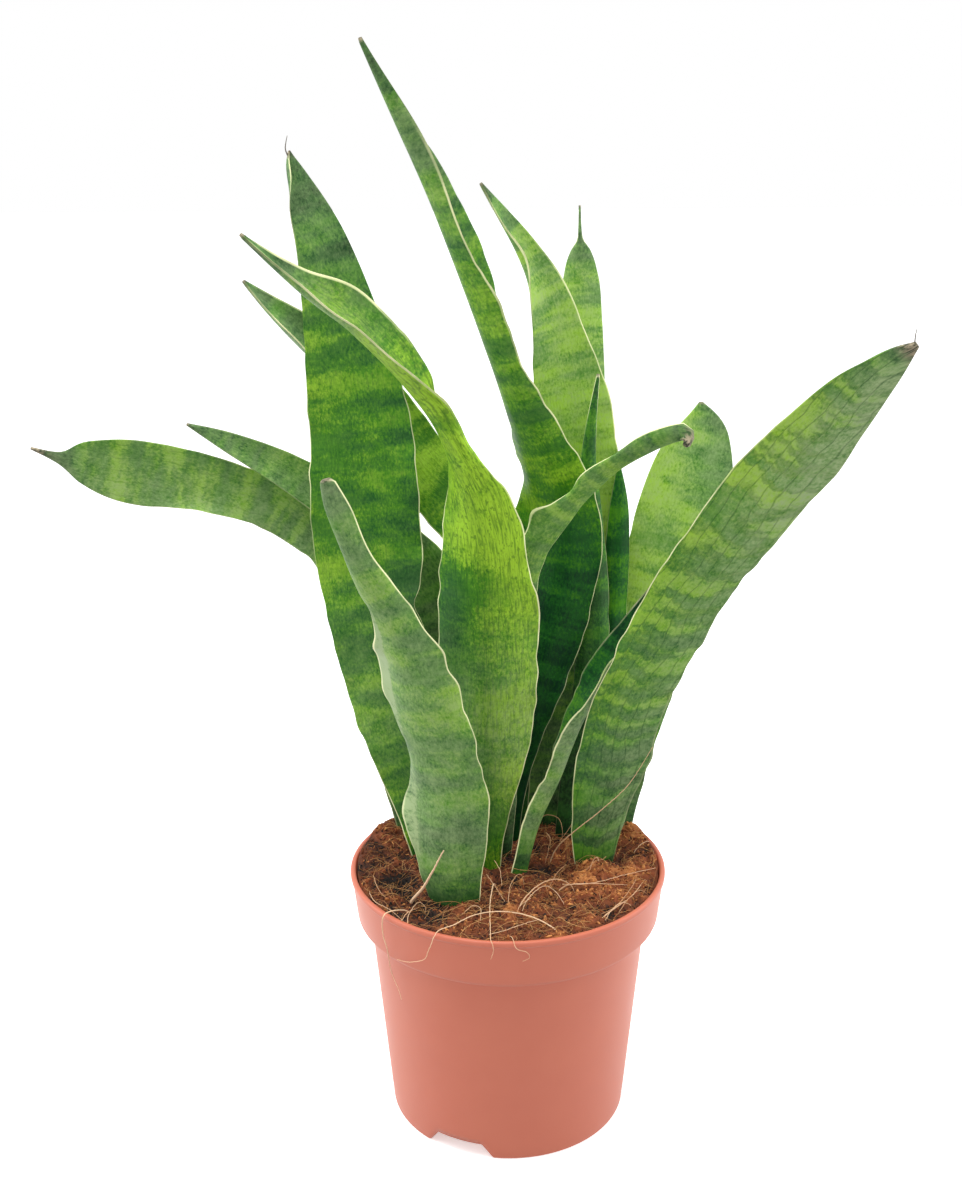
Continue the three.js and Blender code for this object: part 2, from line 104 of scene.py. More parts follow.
# Each leaf is a run of stations from the foot, buried in the soil, to the tip: [x, y, z of the midrib,
# half width, facing, channel depth as a share of the half width, lime, left line, right line].
# Facing is the compass heading of the inner face: 0 is the front (-Y) and 90 the right (+X). lime says
# how yellow-green (1) or blue-green (-1) the leaf is there, and the lines how clear the cream line is
# along each margin, left and right as the inner face shows them. The lowest lime, at the feet of the inner
# leaves, is painted shade deep between the leaves. wave is the height of the margins' waves, pitch their
# length and phase their start in turns. folds move the left (-1) or right (1) margin: (side, station,
# spread, outward, towards the inner face, sharpness, whiteness), the last two 4 and 0 when left out.
# whiteness is painted light: the flap beyond the fold's crease painted paler, with a painted highlight
# along the crease. bloom is how whitish the inner and outer faces are, and mists add to it: (0 inner or 1
# outer face, station, spread, amount). shades add lime: (station, place from -1 to 1 across, spread,
# amount). lean and haze make the right side more lime and more whitish than the left. line is how wide
# the cream line is, 1 when left out, bands the distance between cross bands and bow how far they bend
# to the tip at the right margin. net is how strongly veins cross the leaf, streaks how dark its streaks
# are, keel how dark its middle is, which is painted shade of the keel, and dry the withered tip's length.
LEAVES = dict(
    leaf_front=dict(wave=1.6, pitch=52, phase=0.1, stations=[
        [-19, -25, 82, 6.5, 165, 0.3, -0.5, 1, 0.5], [-22, -28, 110, 12.2, 165, 0.3, -0.2, 1, 0.7],
        [-23.5, -32, 147, 15.2, 160, 0.28, 0, 1, 0.3], [-31, -38, 181, 14.5, 152, 0.3, 0.22, 1, 0.9],
        [-38, -43, 209, 8.6, 160, 0.3, 0.2, 1, 1.2], [-49.7, -47.5, 233, 5.5, 160, 0.3, 0, 1, 1.3],
        [-56.1, -50, 251, 5.2, 162, 0.3, -0.25, 1, 1.3], [-58.6, -51.4, 261.4, 3.1, 158, 0.2, -0.6, 1.3, 1.3],
        [-59, -51.6, 262.4, 1.9, 158, 0.2, -0.6, 1.3, 1.3],
    ], folds=[(-1, 3.62, 5, 2.6, 0.5), (-1, 2.8, 7, -1.8, 0), (-1, 2.2, 7, -1.4, 0.8),
       (1, 3.4, 15, 4.4, 1.6, 7, 2.2), (1, 3, 4, 1.4, 0.3, 7, 0.6), (1, 2.4, 13, -2.8, 0),
       (1, 1.55, 10, 4.4, 1.6, 7, 1.1), (1, 4.3, 6, -1, 0), (1, 5.7, 15, -2.2, 0)], bloom=(0.3, 0.8),
       haze=0.2, line=1.25, bands=13, net=0.1, streaks=0.6, dry=0.6),
    # leaf_centre's lean, keel and first shade, at place 0.75, are painted shade: that half and its middle
    # darker, as shade beside the keel.
    leaf_centre=dict(wave=1.5, pitch=44, phase=0.35, stations=[
        [-7, 3, 82, 3.5, 150, 0.6, -0.2, 1, 0.9], [-8, 1, 112, 6.5, 160, 0.45, 0.2, 1, 0.9],
        [-7, -5, 160, 16.5, 170, 0.22, 0.4, 1, 0.9], [-8, -10, 208, 17.6, 170, 0.2, 0.5, 1, 0.9],
        [-10.5, -13, 238, 14.3, 150, 0.28, 0.85, 0.9, 0.9], [-20, -16, 265, 10.5, 118, 0.5, 0.8, 0, 0.5],
        [-33, -19, 286, 9.2, 92, 0.75, 0.75, 0.7, 0], [-52, -26, 308.5, 8.6, 80, 0.85, 0.65, 1.1, 0.9],
        [-67, -33, 321, 5, 88, 0.85, 0, 0.8, 1.1], [-83.5, -40, 338, 0.5, 90, 0.5, -0.7, 0, 0],
    ], folds=[(-1, 5, 14, -4.4, 0), (1, 4.4, 20, 1.8, 0), (-1, 3.4, 6, -0.9, 1.2), (-1, 2.9, 7, 0.8, -0.8)],
       bloom=(0.05, 0.05), mists=[(1, 1.9, 36, 0.6), (1, 7.6, 32, 0.7), (0, 7.8, 30, 0.6)], lean=-0.25,
       bands=24, shades=[(2.5, 0.75, 40, -0.7), (3.5, -0.7, 28, 0.5), (2.3, -0.6, 16, -0.2),
       (4.3, 0.9, 18, -0.3)], line=1.4, net=0.05, streaks=1.4, keel=0.35, dry=1),
    leaf_tall_left=dict(wave=1.4, pitch=46, phase=0.6, stations=[
        [-27, 13, 82, 6.5, 12, 0.25, -0.4, 1, 0.9], [-32, 13, 112, 9.5, 10, 0.2, -0.2, 1, 0.9],
        [-43.5, 14, 160, 15, 5, 0.12, 0, 0, 0.9], [-51, 16, 212, 19.5, 0, 0.1, 0, 0.1, 1],
        [-52, 18, 253, 19.5, 0, 0.1, 0.05, 1, 1], [-55.7, 20, 288, 16, 0, 0.1, 0.05, 0, 0.1],
        [-64.3, 23, 328, 9.6, 10, 0.12, -0.2, 0.1, 0], [-73.5, 25, 352, 4.8, 18, 0.15, -0.6, 0.8, 0],
        [-75.3, 26, 361.5, 0.5, 20, 0.1, -1, 0.3, 0],
    ], folds=[(1, 2.7, 8, -3.2, 0), (1, 3.1, 7, 0.9, 0.5), (-1, 2.6, 22, -0.9, 0), (-1, 7.05, 7.5, -3, 3.2)],
       bloom=(0.1, 0.4), mists=[(0, 6.6, 36, 0.45), (0, 2, 40, 0.35)], lean=-0.2, bands=11, net=0.12,
       streaks=0.7, dry=2),
    leaf_upper_left=dict(wave=1.3, pitch=48, phase=0.2, stations=[
        [3, 34, 82, 5.5, 5, 0.3, -0.8, 0.6, 0.5], [0, 35, 125, 9.5, 5, 0.2, -0.6, 0.8, 0.5],
        [-4, 37, 188, 14, 8, 0.12, 0.1, 0.8, 0.3], [-9, 37, 222, 15, 15, 0.15, 0.15, 0.9, 0.1],
        [-30, 36, 245, 12.5, 22, 0.2, 0.42, 0.9, 0.1], [-54, 34, 277, 10.5, 55, 0.55, 0.2, 0.8, 0.1],
        [-76.3, 30, 297, 7.6, 73, 0.75, 0, 1.2, 0.6], [-93.2, 24, 317.3, 0.5, 66, 0.5, -0.6, 0, 0],
    ], bloom=(0.15, 0.4), mists=[(0, 6.3, 30, 0.5), (1, 6.3, 30, 0.4)], bands=14, net=0.1, streaks=0.4,
       dry=1),
    leaf_long_left=dict(wave=1.2, pitch=55, phase=0.7, stations=[
        [-34, 29, 82, 6, 30, 0.3, -0.6, 0.3, 0.6], [-40, 34, 115, 9.3, 28, 0.25, -0.5, 0.3, 0.6],
        [-47, 42, 160, 10.5, 20, 0.18, -0.2, 0.3, 0.6], [-60, 47, 203, 10, 15, 0.15, -0.1, 0.3, 1],
        [-84, 46, 226.6, 9.8, 15, 0.15, 0.15, 0.2, 1.1], [-112, 40, 239, 11.4, 15, 0.12, 0.3, 0.6, 0.2],
        [-139.5, 31, 246.8, 12.3, 10, 0.1, 0.3, 0.3, 0.1], [-155, 24, 252.2, 8.2, 10, 0.12, 0.1, 0, 0],
        [-163, 20, 254.6, 2.4, 10, 0.1, -0.6, 0, 0], [-172, 16, 259, 0.5, 10, 0.1, -1, 0, 0],
    ], folds=[(-1, 5, 19, -1.5, 2)], bloom=(0.75, 0.5), haze=-0.3, bands=8, net=0.4, streaks=0.2, dry=6),
    leaf_short_left=dict(wave=1.2, pitch=42, phase=0.45, stations=[
        [-15, 38, 82, 5, 15, 0.3, -0.8, 0.3, 0.6], [-16, 42, 120, 9, 12, 0.2, -0.7, 0.3, 0.6],
        [-22, 47, 170, 13, 10, 0.15, -0.5, 0.3, 0.6], [-34, 48, 202, 12, 15, 0.15, -0.2, 0.3, 0.7],
        [-60, 46, 227, 9.3, 25, 0.2, 0.1, 0.5, 0.1], [-84, 43, 244, 6.8, 35, 0.3, 0.15, 0.1, 0.1],
        [-104, 38, 256, 3.9, 40, 0.3, -0.2, 0.1, 0.1], [-118.5, 33.5, 264, 0.5, 40, 0.2, -0.6, 0, 0],
    ], bloom=(0.7, 0.5), bands=8, net=0.15, streaks=0.2, dry=1),
    # leaf_tallest's low lime at its foot is painted shade deep among the leaves.
    leaf_tallest=dict(wave=1.2, pitch=50, phase=0.15, stations=[
        [-2, 25, 82, 5.5, 165, 0.35, -1.3, 0.3, 0.1], [0, 24, 125, 8.5, 162, 0.3, -1.2, 0.4, 0.1],
        [10, 24, 170, 13.5, 158, 0.28, -0.85, 0.5, 0.1], [19, 22, 210, 15.5, 152, 0.3, -0.6, 0.7, 0.1],
        [16, 18, 240, 16, 142, 0.38, 0.28, 1, 0], [2, 12, 272, 12.6, 118, 0.55, 0.05, 1, 0],
        [-9.9, 6, 305, 11, 96, 0.72, 0.2, 0.6, 0], [-22.5, -3, 340, 8.9, 86, 0.75, 0, 1.2, 0],
        [-35, -13, 370, 4.3, 112, 0.6, -0.1, 0.1, 0], [-46, -22, 396, 0.5, 125, 0.3, -0.7, 0, 0],
    ], folds=[(-1, 6, 18, 0, 1.5), (1, 6, 18, 0, 1.5), (1, 7.65, 16, 0, 2.3), (1, 3.55, 10, 6.2, 0),
       (-1, 7.8, 26, 0, 1.8)], bloom=(0.12, 0), mists=[(1, 7.9, 40, 0.7), (0, 7.9, 40, 0.45),
       (1, 5.6, 40, 0.25)], bands=10, net=0.05, streaks=0.8, dry=1),
    leaf_curling=dict(wave=1.3, pitch=30, phase=0.5, stations=[
        [-3, 14, 82, 3.5, 175, 0.35, -1, 0.4, 0.4], [-1, 12, 125, 5, 178, 0.3, -0.8, 0.4, 0.4],
        [2, 9, 185, 6, 182, 0.2, -0.3, 0.6, 0.9], [8, 4, 219, 5.8, 190, 0.2, 0.25, 0.6, 1.1],
        [20, 0, 238, 5, 200, 0.2, 0.3, 0.3, 1.1], [34, -7, 254.9, 4.6, 205, 0.2, 0.25, 0.2, 1.1],
        [48, -16, 265.7, 4.1, 205, 0.25, 0, 0.2, 1.1], [58.2, -22.4, 270.9, 3.3, 205, 0.2, -0.2, 0.6, 1],
        [60.3, -24, 268.8, 2.4, 205, 0.2, -0.2, 0.6, 1], [59, -25.2, 267, 1, 205, 0.2, -0.2, 0.6, 1],
    ], folds=[(1, 3.72, 5, 4.2, 0), (1, 4.35, 4.5, -2.4, 0.3), (1, 5.3, 8, -2.1, 0)], bloom=(0.3, 0.6),
       bands=8, net=0.1, streaks=0.3, dry=5),
    leaf_bright=dict(wave=1.2, pitch=48, phase=0.8, stations=[
        [14, 35, 82, 5.5, -5, 0.3, -0.6, 0, 0.5], [18, 38, 125, 9, -2, 0.2, -0.4, 0, 0.8],
        [26, 42, 185, 14, 0, 0.12, 0.5, 0, 0.8], [28, 44, 232, 15, 2, 0.12, 0.98, 0, 0.8],
        [24, 43, 270, 13.8, 8, 0.15, 0.8, 0, 1], [16.6, 40, 303, 8.6, 24, 0.3, 0.55, 0.1, 1],
        [5.6, 36, 327, 5.2, 42, 0.5, 0.4, 1.2, 0.1], [-8.6, 31, 350, 0.5, 50, 0.3, -0.6, 0, 0],
    ], folds=[(-1, 4.5, 24, 0.5, 0), (1, 3.9, 22, 1.6, 0), (1, 5.3, 12, 1.2, 0), (-1, 5.9, 11, -2.4, 2.5)],
       bloom=(0.5, 0.6), mists=[(0, 5.4, 30, 0.3), (0, 3.8, 35, 0.15)], bands=7, net=0.1, streaks=0.1, dry=1),
    leaf_back=dict(wave=0.7, pitch=50, phase=0.3, stations=[
        [20, 43, 82, 4, 180, 0.25, -0.8, 0, 0], [22, 46, 105, 5, 180, 0.25, -0.8, 0, 0],
        [25, 54, 140, 7.5, 180, 0.2, -0.5, 0, 0], [30, 61, 195, 8.8, 180, 0.2, 0.2, 0, 0],
        [31, 66, 260, 8.8, 180, 0.2, 0.6, 0, 0], [30.2, 70, 303, 7.8, 180, 0.2, 0.55, 0.1, 0],
        [29.8, 70.7, 316, 6.2, 180, 0.2, 0.35, 0.1, 0], [29.6, 70.6, 323, 3.9, 180, 0.15, -0.3, 0.1, 0],
        [29.4, 70.5, 327, 1.4, 180, 0.1, -0.7, 0.6, 0.6], [29.2, 70.5, 331, 0.7, 180, 0.1, -0.7, 0, 0],
        [29, 70.5, 340, 0.4, 180, 0.1, -0.5, 0, 0],
    ], bloom=(0.5, 0.75), lean=0.15, bands=7, net=0.1, streaks=0.1, dry=1),
    leaf_spear=dict(wave=0.6, pitch=40, phase=0.1, stations=[
        [22, 25, 82, 3.2, 190, 0.4, -1, 0.1, 0.1], [26, 25, 122, 4.6, 188, 0.4, -0.9, 0.1, 0.1],
        [33.5, 27, 177, 5.8, 182, 0.4, -0.5, 0.3, 0.1], [33, 30, 220, 4.5, 180, 0.45, -0.3, 0.2, 0.1],
        [31, 31, 251, 2.8, 180, 0.4, -0.1, 0.1, 0.1], [34, 31, 282, 0.6, 180, 0.2, -0.4, 1.5, 1.5],
    ], bloom=(0.1, 0.15), bands=12, net=0, streaks=0.4, dry=0.3),
    leaf_narrow_right=dict(wave=0.8, pitch=45, phase=0.55, stations=[
        [33, 25.5, 82, 3, 200, 0.35, -1, 0.2, 0.1], [36.8, 29.2, 125, 4.2, 200, 0.3, -0.9, 0.6, 0.1],
        [42, 34, 182, 5.4, 198, 0.3, -0.45, 1.2, 0.2], [43.5, 36, 225, 4.4, 196, 0.3, -0.35, 0.4, 0.2],
        [43, 38, 247, 0.5, 196, 0.2, -0.5, 0, 0],
    ], bloom=(0, 0), bands=12, net=0, streaks=0.4, dry=1),
    leaf_broad_right=dict(wave=1.2, pitch=50, phase=0.25, stations=[
        [43.5, 23, 82, 3.9, -10, 0.3, -0.6, 0, 0], [46.2, 29, 108, 5.4, -10, 0.25, -0.5, 0, 0],
        [53, 39.5, 146, 10.5, -8, 0.15, 0.45, 0, 0], [64, 47, 200, 17.5, -5, 0.1, 0.55, 0, 0],
        [71, 53, 236, 16.8, -5, 0.1, 0.5, 0, 0], [76, 57, 255, 10.4, -5, 0.1, 0.2, 0, 0],
        [76, 59, 266.5, 0.6, -5, 0.1, 0, 0, 0],
    ], folds=[(1, 4.3, 22, 1.1, 0), (-1, 4.2, 18, -1.4, 0)], bloom=(0.6, 0.6), mists=[(0, 4.6, 30, 0.2)],
       lean=-0.35, bands=11, net=0.05, streaks=0.1, dry=0.5),
    leaf_large_right=dict(wave=0.6, pitch=48, phase=0.9, stations=[
        [34, 6, 82, 4.5, -10, 0.25, -0.4, 0.7, 0.1], [34, 3, 112, 9.4, -8, 0.2, -0.35, 0.8, 0.1],
        [42, 0, 158, 12.8, -5, 0.15, 0, 0.9, 0.2], [62.3, -7, 205, 13.8, 0, 0.12, 0.25, 1, 0.2],
        [82.3, -15, 239, 14.8, 5, 0.1, 0.42, 0.9, 0.15], [105.2, -23, 272.2, 12, 5, 0.1, 0.45, 0.1, 0.1],
        [121.1, -29, 292.9, 7, 5, 0.12, -0.05, 0, 0], [131.4, -33, 301.8, 0.8, 5, 0.1, -0.9, 0, 0],
    ], folds=[(-1, 2.3, 16, 0, 2.4), (-1, 4.4, 20, 1.6, 0), (-1, 6.1, 9, -1.8, 0), (1, 1.75, 14, 2.8, 0),
       (1, 3.5, 30, -1.8, 0), (1, 4.75, 9, 1.5, 0), (1, 5.6, 22, 0.7, 0), (1, 6.5, 10, 0.8, 0)],
       bloom=(0.55, 0.6), mists=[(0, 5, 60, 0.6)], haze=0.55, lean=-0.12, bands=8.5, bow=7, net=0.85,
       streaks=0.2, dry=5.5),
    leaf_small_front=dict(wave=1.1, pitch=36, phase=0.3, stations=[
        [3, -1, 82, 4, 225, 0.5, -0.4, 0.2, 1], [9.8, 1, 112, 5, 240, 0.6, -0.1, 0.2, 1],
        [19.5, 3, 135, 6.5, 255, 0.7, 0, 0.2, 1], [28.5, 5, 158, 7.5, 275, 0.75, -0.3, 0.2, 1.1],
        [42, 8, 180, 7, 285, 0.8, -0.8, 0.2, 1.1], [55, 10, 203, 3.8, 285, 0.7, -1, 0.3, 1],
        [62.5, 11, 222, 0.5, 285, 0.3, -1, 0, 0],
    ], bloom=(0, 0.9), bands=12, net=0.05, streaks=0.4, dry=1),
)

# Roots that lie on the soil, stand out of it or hang over the rim, how thick they are at their start and
# how pale. The golden spike and those that hang over the pot are paler than the rest.
ROOT_RADIUS = 0.28
SPIKE_RADIUS = 0.75
ROOT_TONE = 0.75
ROOT_TONES = dict(root_spike=1.6, root_over_rim=1.15, root_hanging=1.15, root_front=1)
ROOTS = dict(
    root_spike=[[-37, -23, 88], [-36, -24, 96], [-31.5, -27, 103.5], [-27.5, -30.5, 112.5],
        [-23.5, -33.5, 122]],
    root_over_rim=[[21, -52, 92], [18, -51, 98], [9, -43, 100], [-2, -40, 101], [-12, -42, 101],
        [-20, -50, 101.5], [-25.5, -55.2, 101.8], [-28.5, -55.5, 95], [-30.5, -52, 89], [-36, -48, 85.6],
        [-40.5, -44.3, 84.4]],
    root_hanging=[[-34, -31, 91], [-37, -34, 98], [-42.3, -39.8, 101.4], [-45.2, -42, 100.2],
        [-45.5, -41, 93], [-44, -41, 86], [-43.4, -33.5, 73], [-40.8, -36, 67], [-39.7, -36.5, 63]],
    root_front=[[-4, -11, 92], [-5.5, -15, 98.5], [-7, -32, 99], [-7, -49, 99.5], [-7, -58.8, 101.4],
        [-6, -61.4, 98.5], [-7, -61.2, 94.5]],
    root_arch=[[2, -35, 92], [4, -31, 98.5], [10, -24, 102], [17, -19, 102.5], [23, -19, 100], [26, -20, 93]],
    root_low_right=[[15, -18, 92], [21, -18, 99], [31, -17, 99.5], [40, -16.5, 98.8], [46.5, -15.5, 98]],
    root_edge_right=[[28, -47, 90], [32, -42, 98], [45, -25, 98.5], [52, -10, 97.5], [53, -5, 91]],
    root_leaning=[[15.5, 6, 88], [17, 5.5, 98], [20, 3, 105.5], [26, -2.5, 114.5], [35, -6.5, 124.5],
        [45, -9, 136.5], [53, -11, 152]],
)

# Pot section in mm, up its inside, over the lip, down its outside and in under the floor:
# (radius, height, rounding of the corner there).
POT_SECTION = [
    (0, 7.4, 0), (44.7, 7.4, 1.5), (51.5, 80.5, 1.5), (55.7, 83.5, 1.5), (57.9, 98.4, 0.5),
    (58.1, 100, 0.8), (60, 100, 0.9), (60, 98.2, 0.6), (59.4, 97.4, 0.5), (57.6, 81.4, 2.2),
    (52.7, 78.6, 1.6), (45.5, 0, 0.8), (43.3, 0, 0.5), (43.3, 6, 0.8), (0, 6, 0),
]
POT_TURNS = 320
POT_STEP = 4
ROUND_STEPS = 6
FLOOR_Z = 6
FLOOR_THICKNESS = 1.4
FOOT_RADIUS = 45.5
INSIDE_FOOT_RADIUS = 40
NOTCH_ANGLES = (-25, 95, 215)
NOTCH_HEIGHT = 5.8
NOTCH_FOOT_WIDTH = 27
NOTCH_TOP_WIDTH = 18
DRAIN_HOLES = 6
DRAIN_RADIUS = 4.5
DRAIN_RING_RADIUS = 32
DRAIN_SIDES = 40
DRAIN_CUT_DEPTH = 3

# Soil: its side against the pot as (radius, height), its surface, which is higher at the back, and the
# surface's heaps and hollows: (x, y, height, spread). The coir is painted paler on the heaps and darker,
# as painted shade, in the hollows.
SOIL_WALL = ((44, 7.8), (50.8, 80.8), (54.8, 84), (56.8, 96))
SOIL_RADIUS = 57.4
SOIL_MIDDLE_RADIUS = 0.6
SOIL_MIDDLE_Z = 96.2
SOIL_EDGE_Z = 98.2
SOIL_BACK_RISE = 3.2
SOIL_RINGS = 110
SOIL_TURNS = 400
SOIL_HEAPS = [
    (-17, -32, 1.2, 5), (36, 0, 1.8, 5), (8, -38, 2, 12), (38, -8, 2, 11), (28, 16, 3, 7),
    (-48, 26, 1.5, 8), (50, 22, 1.5, 9), (-41, -10, -3.2, 10), (-30, -27, -1.6, 6), (-6, -12, -1.5, 7),
    (53, -16, -1.8, 6), (-34, -42, -1.2, 8), (14, 14, -1.5, 9),
]

# Loose coir: how many fibres and crumbs, and the least and greatest of what is drawn for each.
RIM_CLEARANCE = 0.8
FIBRES = 1100
FIBRE_LENGTH = (3, 9)
LONG_FIBRE_SHARE = 0.12
LONG_FIBRE_TIMES = 2.4
FIBRE_ARCH = (0.1, 0.16)
FIBRE_BEND = 0.9
FIBRE_RADIUS = (0.06, 0.12)
CRUMBS = 8000
CRUMB_RADIUS = (0.2, 0.6)
LARGE_CRUMB_SHARE = 0.03
CRUMB_STRETCH = (2.2, 0.8, 0.8)
CRUMB_TONE_SPREAD = 0.34

# Withered threads that stand on the tips of two leaves.
THREADS = dict(
    leaf_tall_left=[[-75.3, 25.8, 359], [-76.4, 25.6, 361.8], [-76.2, 25.6, 364], [-75.6, 25.6, 366.5]],
    leaf_large_right=[[130.4, -32.9, 299.5], [130.8, -33, 302], [130.9, -33, 304.5], [131.2, -33, 306.5]],
)

# Fine root hairs that loop out of the coir.
HAIRS = [
    [[-8, -8.5, 99], [-4, -20, 98.5], [0.5, -34, 98]],
    [[4.5, -35.5, 98], [6.5, -31, 100.5], [11, -25, 102], [14.5, -23.5, 102], [18, -27, 100.5],
     [20, -30, 98]],
    [[-36.5, -47, 99], [-36, -41.5, 101], [-33, -33, 101], [-30.5, -33.5, 99.5], [-30.5, -34, 97]],
    [[-38.5, -45, 100.4], [-36.5, -41, 101.5], [-33.5, -32, 98]],
    [[-0.5, -31, 98], [0.5, -23.5, 102], [3, -17, 103], [5, -13, 101], [6, -13.5, 97]],
    [[-5, -1, 101], [-3, -9, 101], [-2.5, -14.5, 97.5]],
    [[15, 8.5, 108], [16.5, 5.5, 107], [16, 5, 103], [14.5, 3, 97.5]],
    [[13.5, 25, 106], [16.5, 24, 108], [20.5, 20.5, 108], [22, 18, 104], [21, 17.5, 98]],
    [[28, 19.5, 112], [25, 17.5, 106], [19.5, 18, 97.5]],
    [[29.5, -6, 99], [33, -8, 104], [35.5, -8.5, 105], [37, -8, 106]],
    [[30.5, -7, 98], [32, -8, 104], [33.5, -8.5, 106], [34, -10, 105]],
    [[48.5, 7.5, 98], [51, 8, 102], [54, 10, 103], [56, 14, 101]],
    [[-7.5, -51.5, 98.5], [-2, -51.5, 100], [3.5, -49.5, 101], [11, -42, 99]],
    [[-17, -36.5, 98], [-13.5, -36, 101], [-10.5, -37.5, 101], [-10.5, -42.5, 98]],
    [[-52, -18, 98], [-49, -31, 100.5], [-43, -38, 101], [-38, -42, 98.5]],
    [[-1, -52, 98], [0.5, -58.5, 101.2], [2, -61.2, 98.5], [5.5, -61, 97], [6.5, -60.5, 94.5],
     [4, -60.3, 93]], [[33.5, -43, 98], [37, -38.5, 101], [41, -34, 101], [45, -31.5, 98]],
    [[39.5, -36, 98], [43.5, -31, 101], [48, -26, 101.5], [51.5, -22, 97.5]],
    [[33, -37, 98], [38.5, -35, 100], [45, -23.5, 101], [48.5, -10.5, 98.5]],
    [[-52, -1, 97], [-49, -17, 99], [-45.5, -25, 99], [-41.5, -22.5, 96]],
    [[22.5, 1, 98], [18.5, -14.5, 103], [15, -18, 98.5]], [[8, -25, 98], [4, -37.5, 102], [2, -39.5, 99]],
    [[20, -18.5, 100], [31, -19, 100.8], [44, -13, 101], [56, -6, 100]],
]

# ---- helpers


def srgb(hex_colour):
    """A colour given as sRGB hex, turned to linear for the shaders."""
    values = [int(hex_colour[i:i + 2], 16) / 255 for i in (1, 3, 5)]
    linear = [v / 12.92 if v <= 0.04045 else ((v + 0.055) / 1.055) ** 2.4 for v in values]
    return (*linear, 1)


def unit(vectors):
    return vectors / np.linalg.norm(vectors, axis=-1, keepdims=True)


def smooth(share):
    share = np.clip(share, 0, 1)
    return share * share * (3 - 2 * share)


LATTICE = np.random.default_rng(11).random((64, 64)) * 2 - 1


def soft_noise(x, y):
    """Smooth noise from -1 to 1 with bumps about one unit apart."""
    column, row = np.floor(x).astype(int), np.floor(y).astype(int)
    across, up = smooth(x - column), smooth(y - row)
    column, row = column % 64, row % 64
    right, above = (column + 1) % 64, (row + 1) % 64
    low = LATTICE[row, column] * (1 - across) + LATTICE[row, right] * across
    high = LATTICE[above, column] * (1 - across) + LATTICE[above, right] * across
    return low * (1 - up) + high * up


def curve_at(stations, position):
    """The stations read as one smooth curve: every value between two of them is a cubic blend."""
    last = len(stations) - 1
    position = np.clip(position, 0, last)
    index = np.minimum(position.astype(int), last - 1)
    share = (position - index)[:, None]
    before, start = stations[np.maximum(index - 1, 0)], stations[index]
    end, after = stations[index + 1], stations[np.minimum(index + 2, last)]
    slope_start, slope_end = (end - before) / 2, (after - start) / 2
    square = 3 * (end - start) - 2 * slope_start - slope_end
    cube = 2 * (start - end) + slope_start + slope_end
    return start + share * (slope_start + share * (square + share * cube))


def even_positions(stations, step):
    """Positions spaced evenly along the curve, about a step apart, and its length."""
    fine = np.linspace(0, len(stations) - 1, 40 * len(stations))
    points = curve_at(stations, fine)[:, :3]
    walked = np.concatenate([[0], np.cumsum(np.linalg.norm(np.diff(points, axis=0), axis=1))])
    count = math.ceil(walked[-1] / step) + 1
    return np.interp(np.linspace(0, walked[-1], count), walked, fine), walked[-1]


def ring_faces(rings, ring, turned=False):
    """Faces from each ring of points to the next, and a cap on the first ring and on the last."""
    low, here = np.arange(rings - 1)[:, None] * ring, np.arange(ring)
    onward = (here + 1) % ring
    corners = [low + here, low + onward, low + ring + onward, low + ring + here]
    caps = [list(range(ring))[::-1], list(range((rings - 1) * ring, rings * ring))]
    if turned:
        corners = [corners[0], *corners[:0:-1]]
        caps = [cap[::-1] for cap in caps]
    return np.stack(corners, axis=-1).reshape(-1, 4).tolist() + caps


def even_turn(count):
    """Angles spaced evenly over a full turn."""
    return np.linspace(0, 2 * np.pi, count, endpoint=False)


def turned_round(radius, height, turn):
    """Points at these radii and heights, turned round the pot's axis."""
    return np.stack(np.broadcast_arrays(radius * np.cos(turn), radius * np.sin(turn), height), axis=-1)


def placed(name, data):
    """A new object in the scene."""
    thing = bpy.data.objects.new(name, data)
    bpy.context.scene.collection.objects.link(thing)
    return thing


def add_piece(name, vertices, faces, material, replaced=(), attributes=None):
    """A smooth mesh from points in millimetres round the pot's axis, riding on the plant's one body."""
    mesh = bpy.data.meshes.new(name)
    mesh.from_pydata(np.asarray(vertices) * MM + POT_AXIS, [], faces)
    mesh.shade_smooth()
    for key, values in (attributes or {}).items():
        values = np.asarray(values, dtype=np.float32)
        kind, field = ("FLOAT_COLOR", "color") if values.ndim > 1 else ("FLOAT", "value")
        mesh.attributes.new(key, kind, "POINT").data.foreach_set(field, values.ravel())
    mesh.materials.append(material)
    piece = placed(name, mesh)
    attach(piece, "root")
    if replaced:
        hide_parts(*replaced)
    return piece


def socket_named(sockets, key):
    return next(socket for socket in sockets if key in (socket.identifier, socket.name))


def set_inputs(tree, node, inputs):
    """Sets or links a node's inputs, which come by name or as a list in the node's own order."""
    for key, value in inputs.items() if isinstance(inputs, dict) else enumerate(inputs):
        socket = socket_named(node.inputs, key) if isinstance(key, str) else node.inputs[key]
        if isinstance(value, bpy.types.NodeSocket):
            tree.links.new(value, socket)
        else:
            socket.default_value = value


def add_node(tree, kind, inputs=(), gives=None, **settings):
    """Adds one shader node with its settings and links, and returns the output that it gives.

    The kind of a node that calculates has its operation after a space.
    """
    kind, *operation = kind.split()
    node = tree.nodes.new("ShaderNode" + kind)
    if operation:
        node.operation = operation[0]
    for name, value in settings.items():
        setattr(node, name, value)
    set_inputs(tree, node, inputs)
    return socket_named(node.outputs, gives) if gives else node.outputs[0]


def new_material(name):
    """A material with its way to add a node and its way to set the shader's own inputs."""
    material = bpy.data.materials.new(name)
    material.use_nodes = True
    tree = material.node_tree
    return material, partial(add_node, tree), partial(set_inputs, tree, tree.nodes["Principled BSDF"])


# ---- materials

# A Mix node's settings when it mixes two colours.
COLOURS = dict(gives="Result_Color", data_type="RGBA")


